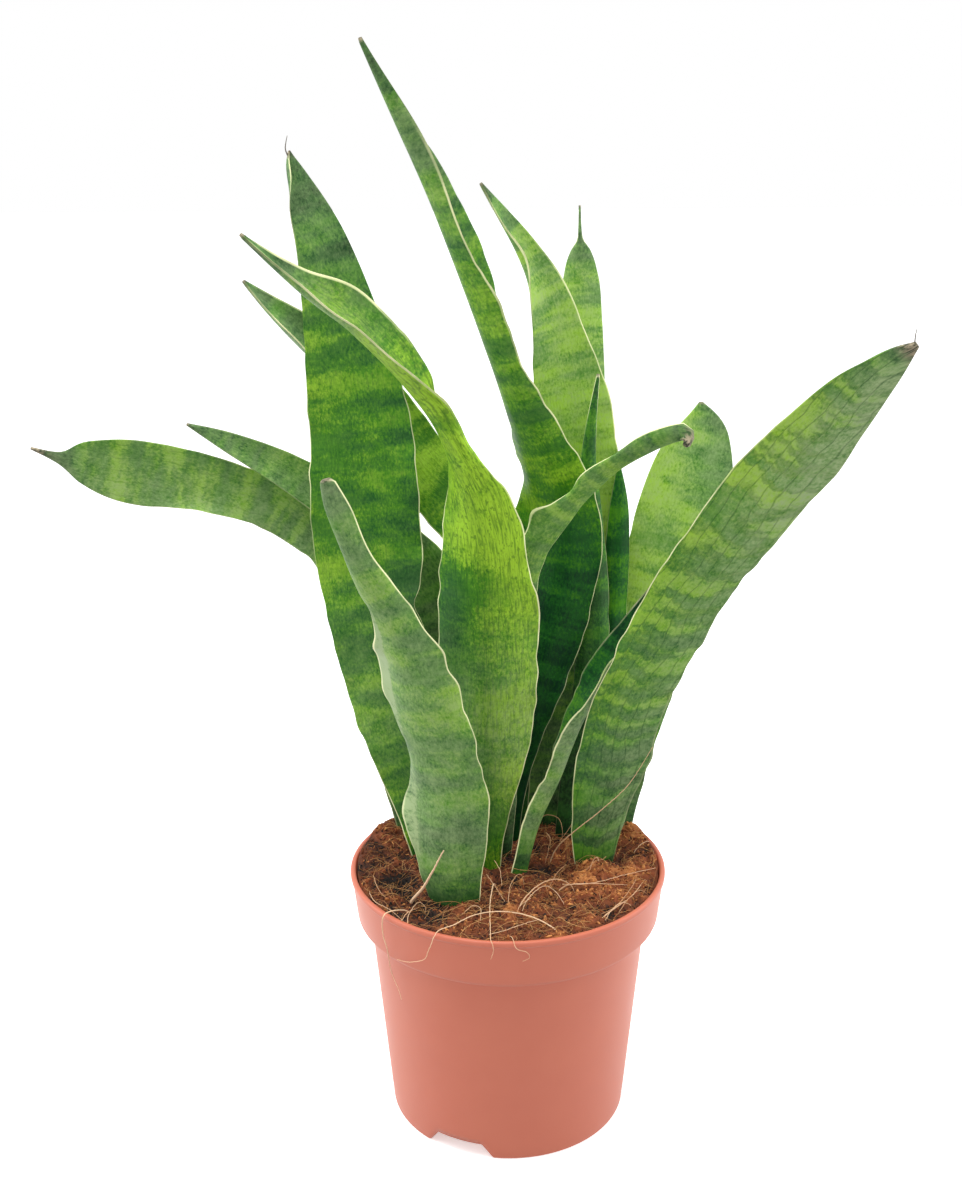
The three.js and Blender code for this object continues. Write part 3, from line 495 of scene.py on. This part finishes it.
def leaf_material():
    """Waxy succulent leaf, grown: a thick cuticle gives a soft satin gloss over cloudy green bands.

    pattern holds millimetres across and along the blade and the strength of the dark keel line, painted
    shade of the keel, edge the distance from the margin, that between cross bands, the strength of the
    streaks and that of the cream line, and tint how lime, whitish, net-veined and dry the leaf is there;
    its whitish holds the folds' painted light and highlight as well as the wax bloom.
    """
    material, add, finish = new_material("snake_plant_leaf")
    names = ("pattern", "edge", "tint")
    pattern, edge, tint = (add("Attribute", attribute_name=name, gives="Vector") for name in names)
    keel, pale_line, dry = (add("Attribute", attribute_name=name, gives="Alpha") for name in names)
    across = add("SeparateXYZ", [pattern], gives="X")
    margin, band_gap, streaks = (add("SeparateXYZ", [edge], gives=axis) for axis in "XYZ")
    lime, bloom, net = (add("SeparateXYZ", [tint], gives=axis) for axis in "XYZ")

    # Millimetres across and along, detail and roughness of the streaks that run lengthwise, the mottle, the
    # dashes, the ripples that run crosswise, the blotches and the clouds.
    grains = []
    for wide, tall, detail, rough in (
            (0.7, 8, 3, 0.6), (0.9, 1.5, 3, 0.7), (1.1, 2.5, 2, 0.6),
            (18, 2.2, 3, 0.6), (5, 6, 4, 0.6), (22, 34, 3, 0.55)):
        place = add("Mapping", {"Vector": pattern, "Scale": (1 / wide, 1 / tall, 1)})
        grains.append(add("TexNoise", {"Vector": place, "Scale": 1, "Detail": detail, "Roughness": rough}))
    streak, mottle, dash, ripple, blotch, cloud = grains

    # Vein net: lengthwise lines 4.6 mm apart, between which the cross bands sag in scallops.
    wander = add("Math MULTIPLY_ADD", [cloud, 9, across])
    from_line = add("Math PINGPONG", [wander, 2.3])
    column = add("Math SNAP", [wander, 4.6])
    column_shift = add("TexWhiteNoise", {"W": column}, gives="Value", noise_dimensions="1D")
    sag = add("Math MULTIPLY", [from_line, 0.5])
    sag = add("Math MULTIPLY_ADD", [column_shift, 2.2, sag])
    sag = add("Math MULTIPLY", [sag, net])
    tear = add("MapRange", [net, 0, 1, 3, 0.6])
    torn = add("Math MULTIPLY_ADD", [streak, tear, sag])
    shift = add("CombineXYZ", {"Y": torn})
    torn_place = add("VectorMath ADD", [pattern, shift])

    # Cross bands with dotted, fuzzy edges, which change along their length every 36 mm.
    bands_per_mm = add("Math DIVIDE", [1, band_gap])
    band_scale = add("CombineXYZ", [1 / 36, bands_per_mm, 1])
    band_place = add("VectorMath MULTIPLY", [torn_place, band_scale])
    contour = add("TexNoise", {"Vector": band_place, "Scale": 1, "Detail": 3, "Roughness": 0.55})
    band = add("Math MULTIPLY_ADD", [mottle, 0.3, contour])
    band = add("MapRange", [band, 0.52, 0.78], interpolation_type="SMOOTHSTEP")

    # Green from blue-green through mid green to lime.
    light = add("Math MULTIPLY_ADD", [band, 0.56, -0.98])
    for part, weight in ((lime, 0.75), (mottle, 0.65), (ripple, 0.4), (blotch, 0.5), (cloud, 0.6)):
        light = add("Math MULTIPLY_ADD", [part, weight, light])
    # The darkest green, #07341A, is partly painted shade: the low lime at the inner leaves' feet reaches it.
    green = srgb("#07341A")
    for least, most, colour in ((-0.4, 0.05, "#205E22"), (0.05, 0.5, "#509019"), (0.5, 1.1, "#AAD836")):
        share = add("MapRange", [light, least, most])
        green = add("Mix", {"Factor_Float": share, "A_Color": green, "B_Color": srgb(colour)}, **COLOURS)

    # Streaks, net lines, outlines of the bands, the keel's painted shade down the middle and the cream margin
    # line, each with the values where it is full and gone, how strong it is at most, and what that is
    # multiplied by.
    off_contour = add("Math SUBTRACT", [contour, 0.5])
    off_contour = add("Math ABSOLUTE", [off_contour])
    from_keel = add("Math ABSOLUTE", [across])
    drawn = []
    for source, full, gone, most, strength, fade in (
            (streak, 0.36, 0.54, 0.45, streaks, "LINEAR"), (from_line, 0.03, 0.35, 1, net, "LINEAR"),
            (off_contour, 0.01, 0.06, 0.6, net, "LINEAR"), (from_keel, 0, 5, 1, keel, "SMOOTHSTEP"),
            (margin, 0.18, 0.4, 1, pale_line, "SMOOTHSTEP")):
        line = add("MapRange", [source, full, gone, most, 0], interpolation_type=fade)
        drawn.append(add("Math MULTIPLY", [line, strength]))
    streak_dark, net_line, cross_line, keel_shade_line, cream = drawn
    dash_depth = add("MapRange", [streaks, 0, 1, 0.12, 0.6])
    dash_dark = add("MapRange", [dash, 0.36, 0.46, dash_depth, 0])
    marks = add("Math MAXIMUM", [streak_dark, dash_dark])
    veins_and_keel_shade = add("Math MAXIMUM", [net_line, keel_shade_line])
    vein_band_and_keel_shade_lines = add("Math MAXIMUM", [veins_and_keel_shade, cross_line])
    vein_band_and_keel_shade_lines = add("Math MULTIPLY", [vein_band_and_keel_shade_lines, 0.55])

    # Whitish wax bloom with the folds' painted light and highlight, the margin's thin brown rim and the
    # withered tip, then all of it over the green.
    bloom_and_fold_light = add("Math ADD", [blotch, mottle])
    bloom_and_fold_light = add("MapRange", [bloom_and_fold_light, 0.7, 1.3, 0.1, 0.85])
    bloom_and_fold_light = add("Math MULTIPLY", [bloom, bloom_and_fold_light])
    rim = add("MapRange", [margin, 0, 0.08, 0.25, 0])
    withered = add("MapRange", [dash, 0.4, 0.62])
    ends = {"A_Color": srgb("#3E4436"), "B_Color": srgb("#B3A58A")}
    withered = add("Mix", {"Factor_Float": withered, **ends}, **COLOURS)
    for share, colour in ((marks, srgb("#1F5A16")), (bloom_and_fold_light, srgb("#A4BA86")), (vein_band_and_keel_shade_lines, srgb("#1D4A20")),
                          (cream, srgb("#FDFFC6")), (rim, srgb("#7A4526")), (dry, withered)):
        green = add("Mix", {"Factor_Float": share, "A_Color": green, "B_Color": colour}, **COLOURS)

    relief = add("Math MULTIPLY_ADD", [veins_and_keel_shade, -0.8, streak])
    relief = add("Math MULTIPLY_ADD", [mottle, 0.5, relief])
    bump = add("Bump", {"Height": relief, "Strength": 0.6, "Distance": 0.2 * MM})
    roughness = add("MapRange", [mottle, 0, 1, 0.36, 0.6])
    finish({"Base Color": green, "Roughness": roughness, "Normal": bump, "IOR": 1.45,
            "Specular IOR Level": 0.14})
    return material


def pot_material():
    """Polypropylene, injection moulded in terracotta: an even satin skin, faintly cloudy."""
    material, add, finish = new_material("moulded_polypropylene")
    place = add("TexCoord", gives="Object")
    cloud = add("TexNoise", {"Vector": place, "Scale": 1 / (18 * MM), "Detail": 2})
    ends = {"A_Color": srgb("#C8694F"), "B_Color": srgb("#CF745A")}
    colour = add("Mix", {"Factor_Float": cloud, **ends}, **COLOURS)
    grain = add("TexNoise", {"Vector": place, "Scale": 1 / (0.8 * MM), "Detail": 3})
    bump = add("Bump", {"Height": grain, "Strength": 0.25, "Distance": 0.05 * MM})
    roughness = add("MapRange", [cloud, 0, 1, 0.38, 0.5])
    finish({"Base Color": colour, "Roughness": roughness, "Normal": bump, "IOR": 1.49})
    return material


def coir_material(name, dark, middle, light):
    """Coir, shredded and moist: a matt, fibrous brown that is paler where its tone is higher: where it has
    dried, and on the coir also painted light to the right, with painted shade in its hollows.

    The dry fibres, the roots and the withered leaf threads are as matt and fibrous, in paler colours.
    """
    material, add, finish = new_material(name)
    tone = add("Attribute", attribute_name="tone", gives="Fac")
    place = add("TexCoord", gives="Object")
    fleck = add("TexNoise", {"Vector": place, "Scale": 1 / (1.2 * MM), "Detail": 4, "Roughness": 0.7})
    mixed = add("Math MULTIPLY_ADD", [fleck, 0.8, tone])
    colour = srgb(dark)
    for least, most, paler in ((0.2, 0.9, middle), (0.85, 1.5, light)):
        share = add("MapRange", [mixed, least, most])
        colour = add("Mix", {"Factor_Float": share, "A_Color": colour, "B_Color": srgb(paler)}, **COLOURS)
    bump = add("Bump", {"Height": fleck, "Strength": 0.8, "Distance": 0.4 * MM})
    finish({"Base Color": colour, "Roughness": 0.85, "Normal": bump})
    return material


# ---- leaves

def blade_grid(leaf, number):
    """A leaf's stations read row by row, its directions in each row and the places across it."""
    stations = np.array(leaf["stations"])
    position, length = even_positions(stations, LEAF_STEP)
    grid = SimpleNamespace(number=number, position=position, length=length)
    rows = curve_at(stations, position).T[..., None]
    x, y, grid.z, half, facing, grid.channel, grid.lime, grid.left_line, grid.right_line = rows
    grid.middle = np.stack([x, y, grid.z], axis=-1)
    grid.half = np.maximum(half, LEAST_HALF_WIDTH)
    grid.share = np.linspace(0, 1, len(position))[:, None]
    grid.walked = grid.share * length

    along = unit(curve_at(stations, position + 0.01)[:, :3] - curve_at(stations, position - 0.01)[:, :3])
    heading = np.radians(facing)
    inner = np.concatenate([np.sin(heading), -np.cos(heading), np.zeros_like(heading)], axis=1)
    inner = unit(inner - np.sum(inner * along, axis=1, keepdims=True) * along)
    grid.inner, grid.across = inner[:, None, :], np.cross(along, inner)[:, None, :]

    nose = np.minimum(1 - np.array(NOSE) / grid.half, 1)
    nose = np.maximum(nose, np.linspace(1, NARROWEST_NOSE, len(NOSE)))
    middle = np.linspace(-1, 1, LEAF_COLUMNS)[1:-1] * nose[:, -1:]
    grid.side = np.concatenate([-nose, middle, nose[:, ::-1]], axis=1)
    grid.margin = (1 - np.abs(grid.side)) * grid.half
    start = np.random.default_rng(100 + number).uniform(0, 60)
    grid.shift = np.where(grid.side < 0, 0, 31.7) + start
    return grid


def spreads_from(grid, station, spread):
    """How many spreads each row of the blade lies from a station."""
    return (grid.walked - np.interp(station, grid.position, grid.walked[:, 0])) / spread


def blade_relief(leaf, grid):
    """How far each point is moved outward and towards the inner face, and its folds' painted light and
    highlight.
    """
    side, half, walked, shift = grid.side, grid.half, grid.walked, grid.shift
    at_margin = np.abs(side) ** 5
    fade = np.sin(np.pi * np.minimum(1, grid.share / WAVES_END)) * np.minimum(1, half / FULL_WAVE_HALF_WIDTH)
    swing = 2 * np.pi * (walked / leaf["pitch"] + leaf["phase"]) + np.where(side < 0, LEFT_MARGIN_TURN, 0)
    lift = grid.channel * half * side ** 2
    lift += leaf["wave"] * fade * np.abs(side) ** 3 * np.sin(swing)
    crimp = soft_noise(walked / CRIMP_LENGTH + shift, 1)
    crimp += 0.5 * soft_noise(walked / FINE_CRIMP_LENGTH + shift, 3)
    lift += CRIMP_HEIGHT * crimp * fade * at_margin
    lift += DIMPLE_DEPTH * soft_noise(side * half / DIMPLE_WIDTH + shift, walked / DIMPLE_LENGTH) * fade
    outward = NICK_DEPTH * soft_noise(walked / NICK_LENGTH + shift, 7) * at_margin * fade
    painted_fold_light = np.zeros_like(side)
    for fold in leaf.get("folds", ()):
        fold_side, station, spread, out, up, sharpness, white = fold if len(fold) == 7 else (*fold, 4, 0)
        away = spreads_from(grid, station, spread)
        to_margin = fold_side * side
        folded = np.exp(-away ** 2) * np.maximum(to_margin, 0) ** sharpness
        outward += out * folded
        lift += up * folded
        # Painted light: the flap beyond a fold's crease is painted paler and the crease gets a painted
        # highlight line.
        crease = smooth((to_margin - 0.78) / 0.1) + np.exp(-((to_margin - 0.8) / 0.05) ** 2)
        painted_fold_light += white * crease * np.exp(-away ** 2 / 2)
    return outward, lift, painted_fold_light


def blade_points(grid, outward, lift):
    """The blade's rings of points: over the inner face from left to right and back over the outer one."""
    side, half = grid.side, grid.half
    surface = grid.middle + grid.across * (side * half + np.sign(side) * outward)[..., None]
    surface = surface + grid.inner * lift[..., None]
    normal = unit(grid.inner - 2 * (grid.channel * side)[..., None] * grid.across)
    thick = FOOT_THICKNESS + (TOP_THICKNESS - FOOT_THICKNESS) * grid.share
    thick = EDGE_THICKNESS + (thick - EDGE_THICKNESS) * (1 - side ** 2)
    rounding = np.sqrt(np.clip(1 - (1 - np.minimum(grid.margin / NOSE[-1], 1)) ** 2, 0, 1))
    body = normal * (np.minimum(thick, THICKNESS_TO_HALF_WIDTH * half) * rounding / 2)[..., None]
    return np.concatenate([surface + body, (surface - body)[:, -2:0:-1]], axis=1)


def blade_paint(leaf, grid, painted_fold_light):
    """The three attributes that the leaf material reads, for every point of the blade's rings."""
    columns = grid.side.shape[1]
    wrap = [*range(columns), *range(columns - 2, 0, -1)]
    outer = np.array([0] * columns + [1] * (columns - 2))
    side, margin, painted_fold_light, shift = (values[:, wrap] for values in (grid.side, grid.margin, painted_fold_light, grid.shift))
    bowed = grid.walked - leaf.get("bow", 0) * np.maximum(side, 0) ** 1.5
    cream = np.where(side < 0, grid.left_line, grid.right_line)
    cream = cream * (0.95 + 0.35 * soft_noise(grid.walked / CREAM_LENGTH + shift, 0))
    to_end = np.minimum(margin / leaf.get("line", 1), grid.length - grid.walked)
    bloom = np.where(outer, leaf["bloom"][1], leaf["bloom"][0])
    for face, station, spread, amount in leaf.get("mists", ()):
        bloom = bloom + amount * np.exp(-spreads_from(grid, station, spread) ** 2) * (outer == face)
    # The folds' painted light and highlight are added to the whitish bloom here.
    bloom = painted_fold_light + bloom * (1 + leaf.get("haze", 0) * side) * smooth((grid.z - 90) / 30)
    lime = grid.lime + leaf.get("lean", 0) * side
    for station, place, spread, amount in leaf.get("shades", ()):
        away = spreads_from(grid, station, spread)
        lime = lime + amount * np.exp(-away ** 2 - ((side - place) / 0.5) ** 2)
    dry = 1 - smooth((grid.length - grid.walked) / leaf["dry"] - 0.4)
    values = {
        "pattern": (side * grid.half, bowed, 40 * grid.number + 17 * outer, leaf.get("keel", 0)),
        "edge": (to_end, leaf["bands"], leaf["streaks"], cream),
        "tint": (lime, bloom, leaf["net"], dry),
    }
    return {key: np.stack(np.broadcast_arrays(*four), axis=-1).reshape(-1, 4) for key, four in values.items()}


def leaf_blade(name, number, leaf, material):
    """One leaf: a channelled blade with waved, thin margins and a narrow tip."""
    grid = blade_grid(leaf, number)
    outward, lift, painted_fold_light = blade_relief(leaf, grid)
    points = blade_points(grid, outward, lift)
    faces = ring_faces(*points.shape[:2])
    paint = blade_paint(leaf, grid, painted_fold_light)
    add_piece(name + "_blade", points.reshape(-1, 3), faces, material, [name], paint)


# ---- pot

def rounded_section(corners):
    """The section's points with each corner turned into an arc of the rounding that it asks for."""
    points = [corners[0][:2]]
    for (x0, z0, _), (x1, z1, radius), (x2, z2, _) in zip(corners, corners[1:], corners[2:]):
        corner = np.array([x1, z1])
        back, ahead = unit(np.array([x0, z0]) - corner), unit(np.array([x2, z2]) - corner)
        half_angle = math.acos(np.clip(back @ ahead, -1, 1)) / 2
        reach = radius / math.tan(half_angle)
        centre = corner + unit(back + ahead) * radius / math.sin(half_angle)
        for share in np.linspace(0, 1, ROUND_STEPS):
            chord = (back * (1 - share) + ahead * share) * reach + corner
            points.append(tuple(centre + unit(chord - centre) * radius))
    return np.array(points + [corners[-1][:2]])


def filled_in(points, step):
    """The same outline with its long straight stretches split, at most a step apart."""
    dense = [points[:1]]
    for start, end in zip(points, points[1:]):
        count = max(1, math.ceil(np.linalg.norm(end - start) / step))
        dense.append(start + (end - start) * np.linspace(0, 1, count + 1)[1:, None])
    return np.concatenate(dense)


def notch_lift(turn):
    """How high the foot ring's lower edge is raised at a place round the pot."""
    lift = np.zeros_like(turn)
    for angle in NOTCH_ANGLES:
        away = np.angle(np.exp(1j * (turn - math.radians(angle - 90)))) * FOOT_RADIUS
        slope = (NOTCH_FOOT_WIDTH / 2 - np.abs(away)) / ((NOTCH_FOOT_WIDTH - NOTCH_TOP_WIDTH) / 2)
        lift = np.maximum(lift, NOTCH_HEIGHT * np.clip(slope, 0, 1))
    return lift


def pierce_floor(pot):
    """Cuts the ring of drainage holes through the pot's floor."""
    cutter = bmesh.new()
    for number in range(DRAIN_HOLES):
        turn = 2 * np.pi * number / DRAIN_HOLES
        centre = turned_round(DRAIN_RING_RADIUS, FLOOR_Z + FLOOR_THICKNESS / 2, turn)
        bmesh.ops.create_cone(cutter, cap_ends=True, segments=DRAIN_SIDES, radius1=DRAIN_RADIUS * MM,
                              radius2=DRAIN_RADIUS * MM, depth=DRAIN_CUT_DEPTH * MM,
                              matrix=Matrix.Translation(centre * MM + POT_AXIS))
    mesh = bpy.data.meshes.new("drain_cutter")
    cutter.to_mesh(mesh)
    cutter.free()
    tool = placed("drain_cutter", mesh)
    cut = pot.modifiers.new("drain", "BOOLEAN")
    cut.object = tool
    view = bpy.context.evaluated_depsgraph_get()
    pierced = bpy.data.meshes.new_from_object(pot.evaluated_get(view))
    pot.modifiers.remove(cut)
    pot.data = pierced
    bpy.data.objects.remove(tool)


def pot_piece(material):
    """The moulded pot: its section turned round the axis, with the notches in its foot ring."""
    section = filled_in(rounded_section(POT_SECTION), POT_STEP)[1:-1]
    turn = even_turn(POT_TURNS)
    radius, height = section.T[..., None]
    lift = notch_lift(turn)
    on_foot = (height < FLOOR_Z) & (radius > INSIDE_FOOT_RADIUS)
    raised = np.where(on_foot, lift + height * (FLOOR_Z - lift) / FLOOR_Z, height)
    points = turned_round(radius, raised, turn).reshape(-1, 3)
    faces = [face[::-1] for face in ring_faces(len(section), POT_TURNS)]
    pot = add_piece("moulded_pot", points, faces, material, ["pot"])
    pierce_floor(pot)


# ---- soil

def soil_lumps(x, y):
    """Clumps, lumps, crumbs and grains, up to about two millimetres high."""
    kinds = ((0.9, 8, 5, 9), (1.1, 3.6, 20, 3), (0.7, 1.7, 7, 31), (0.35, 0.8, 0, 13))
    return sum(height * soft_noise(x / size + right, y / size + back) for height, size, right, back in kinds)


def soil_heaps(x, y):
    """The height of the heaps, which is below zero in the hollows."""
    return sum(height * np.exp(-((x - heap_x) ** 2 + (y - heap_y) ** 2) / spread ** 2)
               for heap_x, heap_y, height, spread in SOIL_HEAPS)


def soil_height(x, y):
    """The coir's surface: shallow heaps and hollows with the lumps on them."""
    out = (x ** 2 + y ** 2) / SOIL_RADIUS ** 2
    rise = SOIL_EDGE_Z - SOIL_MIDDLE_Z + SOIL_BACK_RISE * smooth((y + 20) / 45)
    return SOIL_MIDDLE_Z + rise * out + soil_heaps(x, y) + soil_lumps(x, y) * (1 - 0.5 * out ** 4)


def soil_tone(x, y):
    """How pale the coir is: patchy, paler and rusty on the lumps and heaps, darker in the hollows as painted
    shade, and paler to the right as painted light.
    """
    # Painted light and shade: the x term makes the coir paler to the right and darker to the left under the
    # leaves, and the heaps term darkens the hollows.
    tone = 0.24 + 0.2 * soft_noise(x / 9 + 2, y / 9) + 0.2 * soil_lumps(x, y) + 0.1 * x / SOIL_RADIUS
    return tone + 0.15 * soil_heaps(x, y)


def soil_piece(material):
    """The coir that fills the pot: a side against the pot's wall and the heaped surface."""
    turn = even_turn(SOIL_TURNS)
    radius = np.linspace(SOIL_RADIUS, SOIL_MIDDLE_RADIUS, SOIL_RINGS)[:, None]
    top = turned_round(radius, soil_height(radius * np.cos(turn), radius * np.sin(turn)), turn)
    wall_radius, wall_height = np.array(SOIL_WALL).T[..., None]
    points = np.concatenate([turned_round(wall_radius, wall_height, turn), top])
    tone = soil_tone(points[..., 0], points[..., 1]) - 0.1
    faces = ring_faces(*points.shape[:2])
    add_piece("coir", points.reshape(-1, 3), faces, material, ["soil"], {"tone": tone.ravel()})


# ---- strands

def strand(points, thick, thin, sides, step=0.9, kink=0.0, random=None):
    """A thin round strand along a smooth line, from thick at its start to thin at its end."""
    points = np.array(points, float)
    position, _ = even_positions(points, step)
    line = curve_at(points, position)
    if kink:
        line = line + random.normal(0, kink, line.shape) * np.array([1, 1, 0.5])
    ahead = unit(np.gradient(line, axis=0))
    side = unit(np.cross(ahead, [0.13, 0.22, 0.97]))
    up = np.cross(side, ahead)
    radius = np.linspace(thick, thin, len(line))[:, None, None]
    turn = even_turn(sides)[:, None]
    rings = line[:, None, :] + radius * (np.cos(turn) * side[:, None, :] + np.sin(turn) * up[:, None, :])
    return rings.reshape(-1, 3), ring_faces(len(line), sides, turned=True)


def add_joined(name, parts, material, replaced=()):
    """One piece from one or several (points, faces, tone)."""
    points, faces, tones, count = [], [], [], 0
    for some_points, some_faces, tone in parts:
        points.append(some_points)
        faces += [[count + i for i in face] for face in some_faces]
        tones.append(np.full(len(some_points), tone))
        count += len(some_points)
    tone = {"tone": np.concatenate(tones)}
    add_piece(name, np.concatenate(points), faces, material, replaced, tone)


def tip_threads(material):
    for name, route in THREADS.items():
        thread = strand(route, 0.3, 0.1, sides=5, step=0.7)
        add_joined(name + "_thread", [(*thread, 0.1)], material)


def root_pieces(material):
    for number, (name, route) in enumerate(ROOTS.items()):
        random = np.random.default_rng(300 + number)
        thick = SPIKE_RADIUS if name == "root_spike" else ROOT_RADIUS
        part = strand(route, thick, 0.3 * thick, sides=8, step=0.8, kink=0.05, random=random)
        add_joined("dry_" + name, [(*part, ROOT_TONES.get(name, ROOT_TONE))], material, [name])


def root_hairs(material):
    """The routed hairs, each a thin kinked strand."""
    random = np.random.default_rng(35)
    parts = []
    for route in HAIRS:
        hair = strand(route, 0.15, 0.09, sides=5, kink=0.07, random=random)
        parts.append((*hair, random.uniform(0.4, 1.0)))
    add_joined("root_hairs", parts, material)


def place_on_soil(random, reach):
    """A place drawn evenly from a disc round the pot's axis."""
    turn, radius = random.uniform(0, 2 * np.pi), reach * math.sqrt(random.uniform())
    return np.array([radius * math.cos(turn), radius * math.sin(turn)])


def coir_fibres(material):
    """Seeded fine fibres that lie on the coir and arch over it."""
    random = np.random.default_rng(41)
    reach = SOIL_RADIUS - RIM_CLEARANCE
    parts = []
    for _ in range(FIBRES):
        start = place_on_soil(random, SOIL_RADIUS * 0.97)
        heading = random.uniform(0, 2 * np.pi)
        length = random.uniform(*FIBRE_LENGTH)
        if random.uniform() < LONG_FIBRE_SHARE:
            length *= LONG_FIBRE_TIMES
        arch = random.uniform(*FIBRE_ARCH) * length
        bend = random.uniform(-FIBRE_BEND, FIBRE_BEND)
        route = []
        for share in np.linspace(0, 1, 6):
            angle = heading + bend * share
            place = start + length * share * np.array([math.cos(angle), math.sin(angle)])
            if np.hypot(*place) > reach:
                place = place / np.hypot(*place) * reach
            route.append([*place, soil_height(*place) + 0.2 + arch * math.sin(math.pi * share)])
        thick = random.uniform(*FIBRE_RADIUS)
        fibre = strand(route, thick, thick * 0.6, sides=4, step=1.4)
        parts.append((*fibre, random.uniform(0.1, 1.0)))
    add_joined("coir_fibres", parts, material)


def coir_crumbs(material):
    """Seeded crumbs of coir, each a small rough lump with the corners and sides of an icosahedron."""
    random = np.random.default_rng(57)
    golden = (1 + 5 ** 0.5) / 2
    corners = unit(np.array([np.roll((across, up, 0.0), axis)
                             for axis in range(3) for up in (golden, -golden) for across in (-1, 1)]))
    sides = [
        (0, 11, 5), (0, 5, 1), (0, 1, 7), (0, 7, 10), (0, 10, 11), (1, 5, 9), (5, 11, 4), (11, 10, 2),
        (10, 7, 6), (7, 1, 8), (3, 9, 4), (3, 4, 2), (3, 2, 6), (3, 6, 8), (3, 8, 9), (4, 9, 5), (2, 4, 11),
        (6, 2, 10), (8, 6, 7), (9, 8, 1),
    ]
    parts = []
    for _ in range(CRUMBS):
        x, y = place_on_soil(random, SOIL_RADIUS - RIM_CLEARANCE)
        size = random.uniform(*CRUMB_RADIUS) * (2 if random.uniform() < LARGE_CRUMB_SHARE else 1)
        stretch = random.uniform(0.5, 1.2, 3) * CRUMB_STRETCH
        rough = random.uniform(0.7, 1.15, (len(corners), 1))
        spin = np.linalg.qr(random.normal(size=(3, 3)))[0]
        points = (corners * rough * stretch * size) @ spin.T + [x, y, soil_height(x, y) + 0.25 * size]
        # The crumbs take the coir's tone, with its painted light and shade.
        parts.append((points, sides, soil_tone(x, y) + random.normal(0, CRUMB_TONE_SPREAD)))
    add_joined("coir_crumbs", parts, material)


# ---- studio

def camera():
    data = bpy.data.cameras.new("camera")
    data.lens = CAMERA_LENS
    data.sensor_width = CAMERA_SENSOR
    data.clip_start = 0.01
    eye = placed("camera", data)
    tilt = Matrix.Rotation(math.radians(90 - CAMERA_PITCH), 4, "X")
    roll = Matrix.Rotation(math.radians(CAMERA_ROLL), 4, "Z")
    eye.matrix_world = Matrix.Translation(np.array(CAMERA_PLACE) * MM + POT_AXIS) @ tilt @ roll
    bpy.context.scene.camera = eye


def soft_light(name, place, size, power):
    data = bpy.data.lights.new(name, "AREA")
    data.shape = "DISK"
    data.size = size
    data.energy = power
    light = placed(name, data)
    direction = Vector(LIGHT_TARGET) - Vector(place)
    light.rotation_euler = direction.to_track_quat("-Z", "Y").to_euler()
    light.location = place


def sky():
    """A white sky that is dimmer overhead, in front and below."""
    world = bpy.data.worlds.new("studio")
    world.use_nodes = True
    add = partial(add_node, world.node_tree)
    direction = add("TexCoord", gives="Generated")
    depth, height = (add("SeparateXYZ", [direction], gives=axis) for axis in "YZ")
    lifted = add("MapRange", [height, 0.06, 0.35])
    front = add("MapRange", [depth, -0.9, 0.3, SKY_DIM + FRONT_DIM, SKY_DIM])
    dim = add("Math MULTIPLY", [lifted, front])
    below = add("MapRange", [height, -0.4, -0.08, 1 - BELOW_DIM, 1])
    strength = add("Math SUBTRACT", [below, dim])
    background = world.node_tree.nodes["Background"]
    set_inputs(world.node_tree, background, {"Color": (1, 1, 1, 1), "Strength": strength})
    bpy.context.scene.world = world
    bpy.context.scene.view_settings.view_transform = "Standard"


def floor_sheet():
    """Matt white paint, rolled: an even floor that glows a little, so that it stays pale."""
    material, _, finish = new_material("painted_floor")
    finish({"Base Color": srgb("#FFFFFF"), "Roughness": 0.9, "Emission Color": (1, 1, 1, 1),
            "Emission Strength": FLOOR_GLOW})
    mesh = bpy.data.meshes.new("floor")
    corners = [(x * FLOOR_REACH, y * FLOOR_REACH, 0) for x, y in ((-1, -1), (1, -1), (1, 1), (-1, 1))]
    mesh.from_pydata(corners, [], [(0, 1, 2, 3)])
    mesh.materials.append(material)
    floor = placed("floor", mesh)
    floor.visible_diffuse = False


camera()
sky()
floor_sheet()
soft_light("left", (-0.95, 0.15, 0.5), 0.7, SIDE_LIGHT)
soft_light("right", (0.95, 0.15, 0.5), 0.7, SIDE_LIGHT)
soft_light("top", (-0.15, -0.1, 1.2), 0.8, TOP_LIGHT)
leaf = leaf_material()
for number, (name, shape) in enumerate(LEAVES.items()):
    leaf_blade(name, number, shape, leaf)
pot_piece(pot_material())
soil = coir_material("moist_coir", "#160B06", "#8A4620", "#DC9654")
soil_piece(soil)
coir_crumbs(soil)
coir_fibres(coir_material("dry_coir_fibre", "#5A3A20", "#AC7440", "#DCAC70"))
root = coir_material("dry_root", "#8C5E3A", "#D09E74", "#F4CFA8")
root_pieces(root)
tip_threads(coir_material("withered_leaf", "#4A4238", "#7A6E5C", "#B3A58A"))
root_hairs(root)
